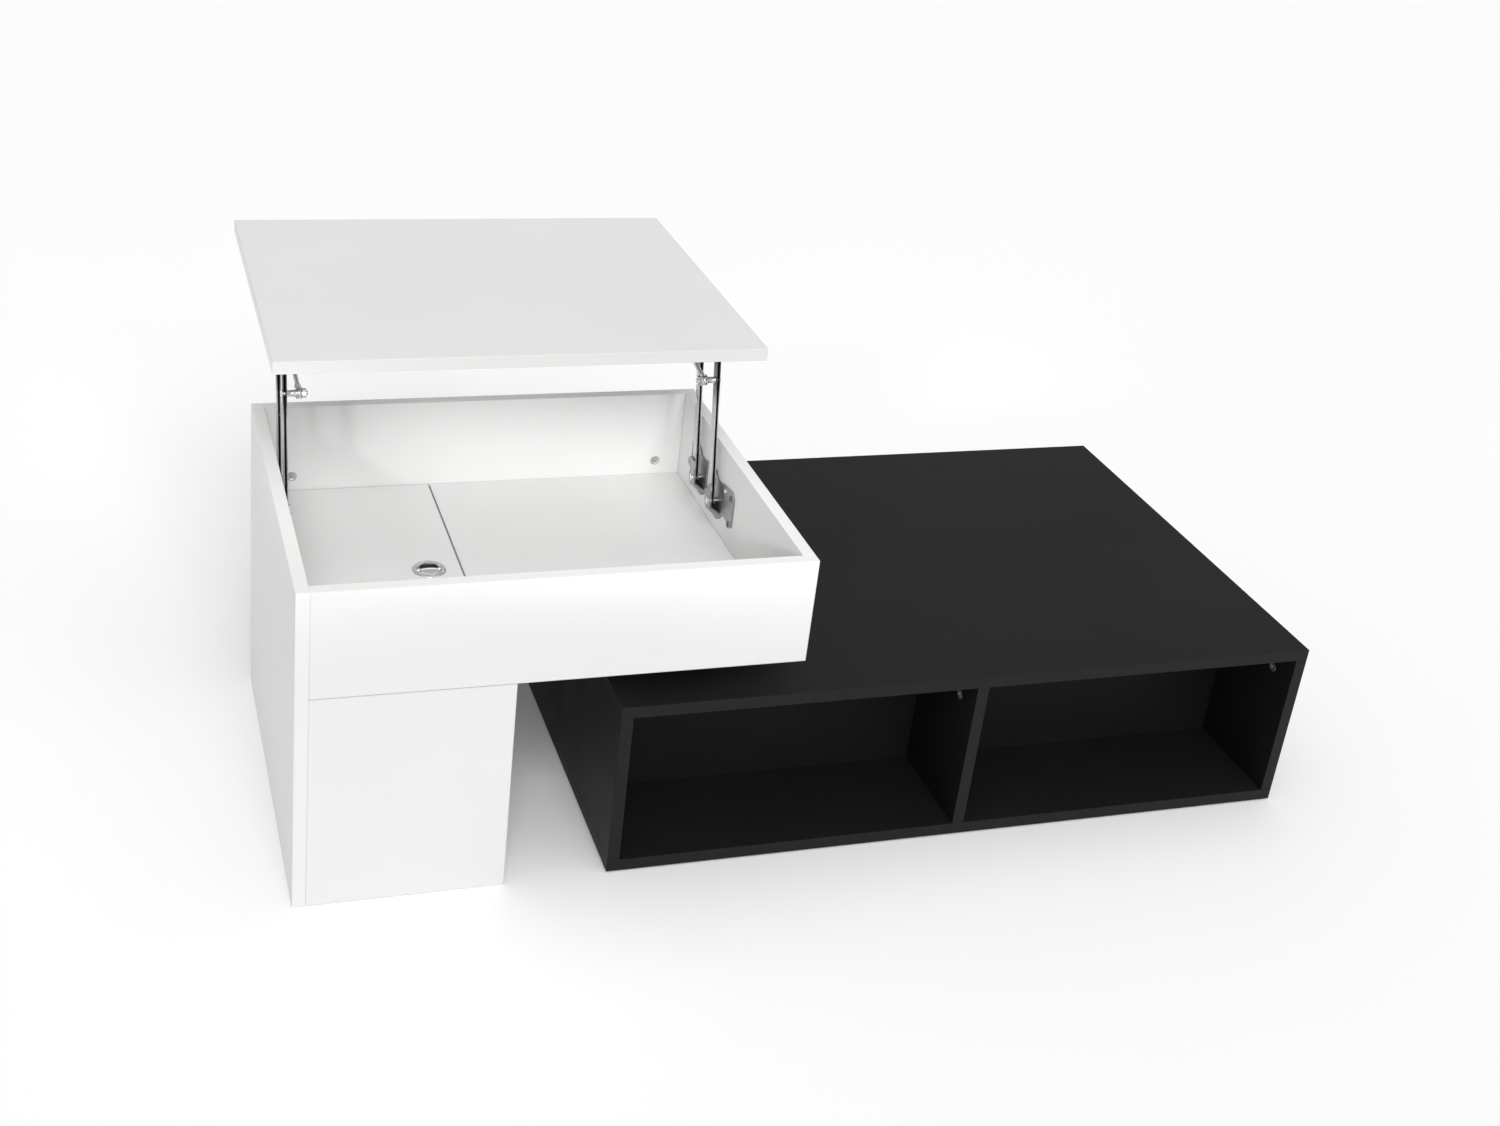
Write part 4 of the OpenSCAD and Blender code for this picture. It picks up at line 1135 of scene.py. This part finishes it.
class TABLE_OT_brackets(bpy.types.Operator):
    """Build the base and top brackets, their rivets and screws"""
    bl_idname = "table.brackets"
    bl_label = "Brackets"

    def execute(self, context):
        made = finishes()
        for side in SIDES:
            piece = eased_copy("base_plate_" + side, "base_bracket_" + side, made.bracket)
            settle(piece, "cabinet", ["base_bracket_" + side])
            piece = eased_copy("top_plate_" + side, "top_bracket_" + side, made.bracket)
            settle(piece, "lift_top", ["top_bracket_" + side])
        for node in ("top_rivets", "fork_rivets"):
            clad(node, made.bright)
        make_rivets("base_rivets", "base_rivet_set", "cabinet")
        make_screws("base_screws", "base_screw_set", "cabinet", lambda p: (inward(p), 0, 0), made.dark_screw)
        make_screws("top_screws", "top_screw_set", "lift_top", lambda p: (0, 0, -1), made.screw)
        return {"FINISHED"}


class TABLE_OT_struts(bpy.types.Operator):
    """Build the gas struts, their front bolts and their rear pins"""
    bl_idname = "table.struts"
    bl_label = "Gas struts"

    def execute(self, context):
        for side in SIDES:
            self.strut(side)
        self.bolts()
        clad("strut_end_pins", finishes().bright)
        return {"FINISHED"}

    def eye(self, bm, origin, half, bore, index):
        """Flat eye with rounded rims about X."""
        rim = 0.5 * MM
        profile = [(bore, -half), (EYE_R - rim, -half), (EYE_R - rim * 0.3, -half + rim * 0.3),
                   (EYE_R, -half + rim), (EYE_R, half - rim), (EYE_R - rim * 0.3, half - rim * 0.3),
                   (EYE_R - rim, half), (bore, half), (bore, -half)]
        add_lathe(bm, profile, 48, along(origin, (1, 0, 0)), index)

    def tongue(self, bm, origin, out, half, index):
        """Flat bar that leads out of an eye along out."""
        rim = 0.5 * MM
        side = Vector((1, 0, 0))
        up = out.normalized().cross(side)
        rings = []
        for reach, shrink in ((5.2 * MM, 0), (10.6 * MM, 0), (11 * MM, 0.4 * MM)):
            across = half - shrink
            tall = ROD_R - shrink
            at = origin + out.normalized() * reach
            outline = ((across, tall - rim), (across - rim, tall), (rim - across, tall),
                       (-across, tall - rim), (-across, rim - tall), (rim - across, -tall),
                       (across - rim, -tall), (across, rim - tall))
            rings.append([bm.verts.new(at + side * x + up * y) for x, y in outline])
        add_stack(bm, rings, index)

    def strut(self, side):
        made = finishes()
        front, rear = strut_ends(side)
        span = (rear - front).length
        place = along(front, rear - front)
        mouth = span - TUBE_MOUTH_BACK
        end = mouth + TUBE_LENGTH
        bm = bmesh.new()
        self.eye(bm, front, EYE_HALF, ROD_R + PLAY, 0)
        self.tongue(bm, front, rear - front, EYE_HALF, 0)
        self.rod(bm, place, mouth + 20 * MM)
        rod = shade(new_object("strut_rod_" + side + "_ground", bm, [made.rod]))
        settle(rod, "strut_rods", ["strut_rod_" + side])
        bm = bmesh.new()
        self.tube(bm, place, mouth, end)
        self.neck(bm, place, end, span - 5 * MM)
        self.eye(bm, rear, REAR_EYE_HALF, ROD_R, 1)
        tube = shade(new_object("strut_tube_" + side, bm, [made.tube, made.bright]))
        settle(tube, "strut_cylinders", ["strut_cylinder_" + side])

    def rod(self, bm, place, end):
        """Ground rod with a pressed sleeve behind its tongue."""
        add_lathe(bm, [(0, 9.8 * MM), (3.4 * MM, 9.8 * MM), (4.2 * MM, 10.6 * MM),
                       (4.2 * MM, 15.6 * MM), (3.8 * MM, 16.2 * MM), (ROD_R, 16.6 * MM),
                       (ROD_R, end), (0, end)], 40, place, 0)

    def tube(self, bm, place, mouth, end):
        """Painted tube with a rolled mouth, a rolled groove by the mouth and a fine one by its end."""
        groove_r = TUBE_R - 0.7 * MM
        fine_r = TUBE_R - 0.15 * MM
        add_lathe(bm, [
            (ROD_R + PLAY, mouth + 1.5 * MM), (ROD_R + PLAY, mouth + 0.2 * MM), (TUBE_R - 2.6 * MM, mouth),
            (TUBE_R - 1.4 * MM, mouth + 0.1 * MM), (TUBE_R - 0.5 * MM, mouth + 0.6 * MM),
            (TUBE_R, mouth + 1.8 * MM), (TUBE_R, mouth + 6 * MM), (groove_r, mouth + 6.8 * MM),
            (groove_r, mouth + 7.8 * MM), (TUBE_R, mouth + 8.6 * MM), (TUBE_R, end - 9 * MM),
            (fine_r, end - 8.7 * MM), (fine_r, end - 8.2 * MM), (TUBE_R, end - 7.9 * MM),
            (TUBE_R, end - 2.2 * MM), (TUBE_R - 0.6 * MM, end - 0.8 * MM),
            (TUBE_R - 2 * MM, end - 0.1 * MM), (3.3 * MM, end)], 56, place, 0)

    def neck(self, bm, place, start, end):
        """Neck that joins the tube to the rear eye."""
        add_lathe(bm, [(3.2 * MM, start - 0.5 * MM), (3.2 * MM, start + 2 * MM), (2.9 * MM, start + 2.4 * MM),
                       (2.9 * MM, end), (0, end)], 40, place, 1)

    def bolts(self):
        axis = pivot("strut_pivot")
        for node, name, profile, segments in (
                ("strut_bolts", "strut_bolt_pair", self.bolt_profile, 40),
                ("bolt_spacers", "spacer_sleeves", self.spacer_profile, 40),
                ("bolt_washers", "flat_washers", self.washer_profile, 48)):
            bm = bmesh.new()
            for place, size in crosswise(node, axis):
                add_lathe(bm, profile(size.x), segments, place)
            self.settle_bolt_part(name, bm, node)
        bm = bmesh.new()
        for place, size in crosswise("bolt_nuts", axis):
            self.nut(bm, place, size.x)
        self.settle_bolt_part("lock_nuts", bm, "bolt_nuts")

    def settle_bolt_part(self, name, bm, node):
        settle(shade(new_object(name, bm, [finishes().bright])), "front_arms", [node])

    def bolt_profile(self, length):
        """Domed head at the start, cut thread by the end."""
        thread = []
        for n in range(BOLT_THREADS):
            z = length - THREAD_BACK + n * THREAD_PITCH
            thread += [(2.95 * MM, z), (2.55 * MM, z + THREAD_PITCH / 2), (2.95 * MM, z + THREAD_PITCH)]
        return [(0, 0), (3.2 * MM, 0.15 * MM), (4.6 * MM, 0.8 * MM), (5 * MM, 1.5 * MM), (5 * MM, 2 * MM),
                (3 * MM, 2 * MM), *thread, (2.6 * MM, length - 0.5 * MM), (2.2 * MM, length), (0, length)]

    def spacer_profile(self, length):
        """Sleeve with a flange at each end and a slight waist."""
        flange_r = 4.5 * MM
        return [(BOLT_BORE_R, 0), (flange_r, 0), (flange_r, 0.8 * MM), (4 * MM, 1.8 * MM),
                (3.8 * MM, length / 2), (4 * MM, length - 1.8 * MM), (flange_r, length - 0.8 * MM),
                (flange_r, length), (BOLT_BORE_R, length)]

    def washer_profile(self, length):
        """Flat washer with broken outer edges."""
        radius = 7 * MM
        edge = 0.2 * MM
        return [(BOLT_BORE_R, 0), (radius - edge, 0), (radius, edge), (radius, length - edge),
                (radius - edge, length), (BOLT_BORE_R, length), (BOLT_BORE_R, 0)]

    def nut(self, bm, place, thick):
        """Hexagon nut with turned corners."""
        corner = NUT_FLAT_R / math.cos(math.radians(30))
        count = 36
        turns = [2 * math.pi * n / count for n in range(count)]
        bore = [BOLT_BORE_R] * count
        rings = [(0, bore)]
        for z, shrink in ((0, -0.35 * MM), (0.35 * MM, 0), (thick - 0.6 * MM, 0), (thick, -0.6 * MM)):
            rings.append((z, [min(NUT_FLAT_R / math.cos(a % (math.pi / 3) - math.pi / 6), corner + shrink)
                              for a in turns]))
        rings.append((thick, bore))
        rings = [[bm.verts.new((r * math.cos(a), r * math.sin(a), z)) for a, r in zip(turns, radii)]
                 for z, radii in rings]
        bridge(bm, rings)
        bmesh.ops.transform(bm, matrix=place, verts=[v for ring in rings for v in ring])
        bmesh.ops.recalc_face_normals(bm, faces=bm.faces)


class TABLE_OT_hatch(bpy.types.Operator):
    """Build the hatch board"""
    bl_idname = "table.hatch"
    bl_label = "Hatch"

    def execute(self, context):
        board = make_board("hatch_board", *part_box("hatch_panel"), "white")
        centre = middle("ring_cup")
        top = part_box("hatch_panel")[1].z
        place = Matrix.Translation((centre.x, centre.y, top))
        drill(board, [place], CUP_BORE_R, CUP_BORE_DEPTH)
        settle(board, "hatch", ["hatch_panel"])
        return {"FINISHED"}


class TABLE_OT_ring_pull(bpy.types.Operator):
    """Build the ring pull: cup with its flange, bail and screws"""
    bl_idname = "table.ring_pull"
    bl_label = "Ring pull"

    def execute(self, context):
        made = finishes()
        low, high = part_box("ring_cup")
        centre = (low + high) / 2
        flange = (high.x - low.x) / 2
        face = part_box("hatch_panel")[1].z
        top = high.z - face
        deep = face - low.z
        place = Matrix.Translation((centre.x, centre.y, face))
        cup = self.cup(flange, top, deep)
        cup.data.transform(place)
        settle(cup, "hatch", ["ring_cup"])
        bail = self.bail()
        bail_z = middle("ring_bail").z
        bail.data.transform(Matrix.Translation((centre.x, centre.y, bail_z)))
        settle(bail, "ring_handle", ["ring_bail"])
        clad("ring_pins", made.bright)
        make_screws("ring_screws", "ring_screw_pair", "hatch", lambda p: (0, 0, 1), made.screw,
                    RING_SCREW)
        return {"FINISHED"}

    def cup(self, flange, top, deep):
        """Cast cup: a domed flange, the bail's seat in the front half, the finger recess behind it."""
        made = finishes()
        seat = 15.5 * MM
        wall = 16.5 * MM
        recess = 12.3 * MM
        seat_y = 2.8 * MM
        bm = bmesh.new()
        add_lathe(bm, [
            (0, -deep), (wall - 0.5 * MM, -deep), (wall, -deep + 0.5 * MM), (wall, 0),
            (flange - 0.15 * MM, 0), (flange, 0.2 * MM), (flange - 0.15 * MM, 0.5 * MM),
            (flange - 0.7 * MM, 0.85 * MM), (flange - 1.7 * MM, top - 0.05 * MM),
            (flange - 2.6 * MM, top), (0, top)], 96)
        cup = new_object("ring_cup_cast", bm, [made.chrome, made.recess])
        floor = -deep + MM
        bm = bmesh.new()
        outline = [(seat * math.cos(a), seat * math.sin(a)) for a in self.arc_angles(seat, seat_y, 48)]
        add_stack(bm, [[bm.verts.new((*p, z)) for p in outline] for z in (floor, top + MM)])
        cut(cup, new_object("seat", bm, []))
        bm = bmesh.new()
        add_lathe(bm, [(0, floor), (recess, floor), (recess, top + MM), (0, top + MM)], 72)
        cut(cup, new_object("recess", bm, []))
        flat_faces(cup)
        ease_edges(cup, 0.35 * MM, 3, 50)
        shade(cup, 35)
        # Faces deep in the recess take the darker chrome, as painted shade
        for face in cup.data.polygons:
            centre = face.center
            deep_in = math.hypot(centre.x, centre.y) < wall - 0.4 * MM and centre.z < 0
            face.material_index = 1 if deep_in else 0
        return cup

    def arc_angles(self, radius, level, steps):
        """Angles of the part of a circle that lies below a level, from left to right."""
        edge = math.asin(level / radius)
        first = -math.pi - edge
        return [first + (math.pi + 2 * edge) * k / steps for k in range(steps + 1)]

    def bail_outline(self, edge):
        """Half moon with an arched rear edge, drawn smaller all round by edge."""
        radius = 14.2 * MM
        arch = 3.5 * MM
        arch_r = ((radius - MM) ** 2 + arch ** 2) / (2 * arch)
        arch_y = arch - arch_r
        radius -= edge
        arch_r -= edge
        y = (radius ** 2 - arch_r ** 2 + arch_y ** 2) / (2 * arch_y)
        x = math.sqrt(max(radius ** 2 - y ** 2, 0))
        first = math.atan2(y, -x)
        first = first - 2 * math.pi if first > 0 else first
        last = math.atan2(y, x)
        steps = 56
        front = [first + (last - first) * k / steps for k in range(steps + 1)]
        points = [(radius * math.cos(a), radius * math.sin(a)) for a in front]
        start = math.atan2(y - arch_y, x)
        end = math.atan2(y - arch_y, -x)
        back = [start + (end - start) * k / 24 for k in range(1, 24)]
        points += [(arch_r * math.cos(a), arch_y + arch_r * math.sin(a)) for a in back]
        return points

    def bail(self):
        """Dished half moon with a rounded lip and two pivot ears."""
        made = finishes()
        half = 1.2 * MM
        bm = bmesh.new()
        levels = [(0.5, -half), (0.12, -half + 0.25 * MM), (0, -half + 0.6 * MM), (0, half - 0.6 * MM),
                  (0.15, half - 0.2 * MM), (0.6, half), (1.4, half), (1.9, half - 0.25 * MM),
                  (2.4, half - 0.9 * MM), (3.4, half - 1.15 * MM), (5.2, half - 1.25 * MM)]
        rings = [[bm.verts.new((*p, z)) for p in self.bail_outline(edge * MM)] for edge, z in levels]
        add_stack(bm, rings)
        for sign in (-1, 1):
            start = (sign * 10.2 * MM, 0, 0)
            add_lathe(bm, [(0, 0), (1.7 * MM, 0), (2.2 * MM, 0.5 * MM), (2.2 * MM, 3.6 * MM),
                           (1.9 * MM, 4 * MM), (0, 4 * MM)], 32, along(start, (sign, 0, 0)))
        return shade(new_object("ring_bail_dished", bm, [made.chrome]), 50)


class TABLE_OT_stage(bpy.types.Operator):
    """Set up the floor, the lights and the camera"""
    bl_idname = "table.stage"
    bl_label = "Stage"

    def execute(self, context):
        settings = context.scene.table_stage
        self.floor(settings)
        self.lights(context.scene, settings)
        self.camera(context.scene, settings)
        context.scene.view_settings.view_transform = "Standard"
        context.scene.view_settings.look = "None"
        return {"FINISHED"}

    def floor(self, settings):
        material = bpy.data.materials.new("Studio floor")
        material.use_nodes = True
        material.node_tree.nodes.clear()
        sheet = Sheet(material.node_tree)
        noise = sheet.add("ShaderNodeTexNoise", {"Vector": object_point(sheet), "Scale": 3.0, "Detail": 3.0})
        colour = tuple(settings.floor)
        tone = sheet.mix(noise.outputs[0], (*[c * 0.99 for c in colour], 1), (*colour, 1))
        shader = sheet.add("ShaderNodeBsdfPrincipled", {"Base Color": tone, "Roughness": 0.9,
                                                        "Specular IOR Level": 0.1})
        sheet.add("ShaderNodeOutputMaterial", {"Surface": shader.outputs[0]})
        bm = bmesh.new()
        bmesh.ops.create_grid(bm, x_segments=8, y_segments=8, size=30)
        floor = new_object("studio_floor", bm, [material])

    def lights(self, scene, settings):
        world = bpy.data.worlds.new("Room")
        scene.world = world
        world.use_nodes = True
        background = world.node_tree.nodes["Background"]
        background.inputs["Color"].default_value = (1, 1, 1, 1)
        background.inputs["Strength"].default_value = settings.sky
        self.sun(scene, "Key", settings.key, 30, KEY_FROM)
        self.sun(scene, "Top", settings.top, 80, TOP_FROM)
        self.fill(scene, "Fill left", settings.fill, FILL_LEFT_FROM)
        self.fill(scene, "Fill right", settings.fill * FILL_RIGHT_SHARE, FILL_RIGHT_FROM)

    def sun(self, scene, name, strength, softness, toward):
        light = bpy.data.lights.new(name, "SUN")
        light.energy = strength
        light.angle = math.radians(softness)
        holder = bpy.data.objects.new(name, light)
        scene.collection.objects.link(holder)
        holder.matrix_world = along((0, 0, 4), toward)

    def fill(self, scene, name, strength, toward):
        """Wide low beam from the front, which reaches into the tray under the lid."""
        low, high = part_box("tray_back_panel")
        target = Vector(((low.x + high.x) / 2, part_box("tray_front_panel")[0].y, high.z + FILL_OVER_TRAY))
        toward = Vector(toward).normalized()
        light = bpy.data.lights.new(name, "AREA")
        light.shape = "RECTANGLE"
        light.size, light.size_y = FILL_SIZE
        light.spread = math.radians(FILL_SPREAD)
        light.energy = strength * light.size * light.size_y
        holder = bpy.data.objects.new(name, light)
        scene.collection.objects.link(holder)
        holder.matrix_world = along(target + toward * FILL_AWAY, toward)

    def camera(self, scene, settings):
        camera = bpy.data.cameras.new("Camera")
        camera.lens = settings.focal
        camera.sensor_width = 36
        camera.shift_x, camera.shift_y = CAMERA_SHIFT
        camera.clip_start = 0.05
        holder = bpy.data.objects.new("Camera", camera)
        scene.collection.objects.link(holder)
        right = Vector(CAMERA_RIGHT)
        back = Vector(CAMERA_BACK)
        up = back.cross(right)
        turn = Matrix((right, up, back)).transposed().to_4x4()
        holder.matrix_world = Matrix.Translation(CAMERA_PLACE) @ turn
        scene.camera = holder


class TABLE_PT_panel(bpy.types.Panel):
    """Buttons and settings of the coffee table"""
    bl_idname = "TABLE_PT_panel"
    bl_label = "Coffee Table"
    bl_space_type = "VIEW_3D"
    bl_region_type = "UI"
    bl_category = "Coffee Table"

    def draw(self, context):
        for settings in (context.scene.table_boards, context.scene.table_metals, context.scene.table_stage):
            box = self.layout.box()
            for name in settings.__annotations__:
                box.prop(settings, name)
        for step in STEPS:
            self.layout.operator(step.bl_idname)


STEPS = (
    TABLE_OT_stage,
    TABLE_OT_white_cabinet,
    TABLE_OT_lid,
    TABLE_OT_hatch,
    TABLE_OT_ring_pull,
    TABLE_OT_low_cabinet,
    TABLE_OT_feet,
    TABLE_OT_arms,
    TABLE_OT_brackets,
    TABLE_OT_struts,
)
CLASSES = (BoardSettings, MetalSettings, StageSettings, *STEPS, TABLE_PT_panel)


def register():
    for cls in CLASSES:
        bpy.utils.register_class(cls)
    bpy.types.Scene.table_boards = bpy.props.PointerProperty(type=BoardSettings)
    bpy.types.Scene.table_metals = bpy.props.PointerProperty(type=MetalSettings)
    bpy.types.Scene.table_stage = bpy.props.PointerProperty(type=StageSettings)


def unregister():
    del bpy.types.Scene.table_stage
    del bpy.types.Scene.table_metals
    del bpy.types.Scene.table_boards
    for cls in reversed(CLASSES):
        bpy.utils.unregister_class(cls)


def main():
    register()
    for step in STEPS:
        group, name = step.bl_idname.split(".")
        getattr(getattr(bpy.ops, group), name)()


if __name__ == "__main__":
    main()
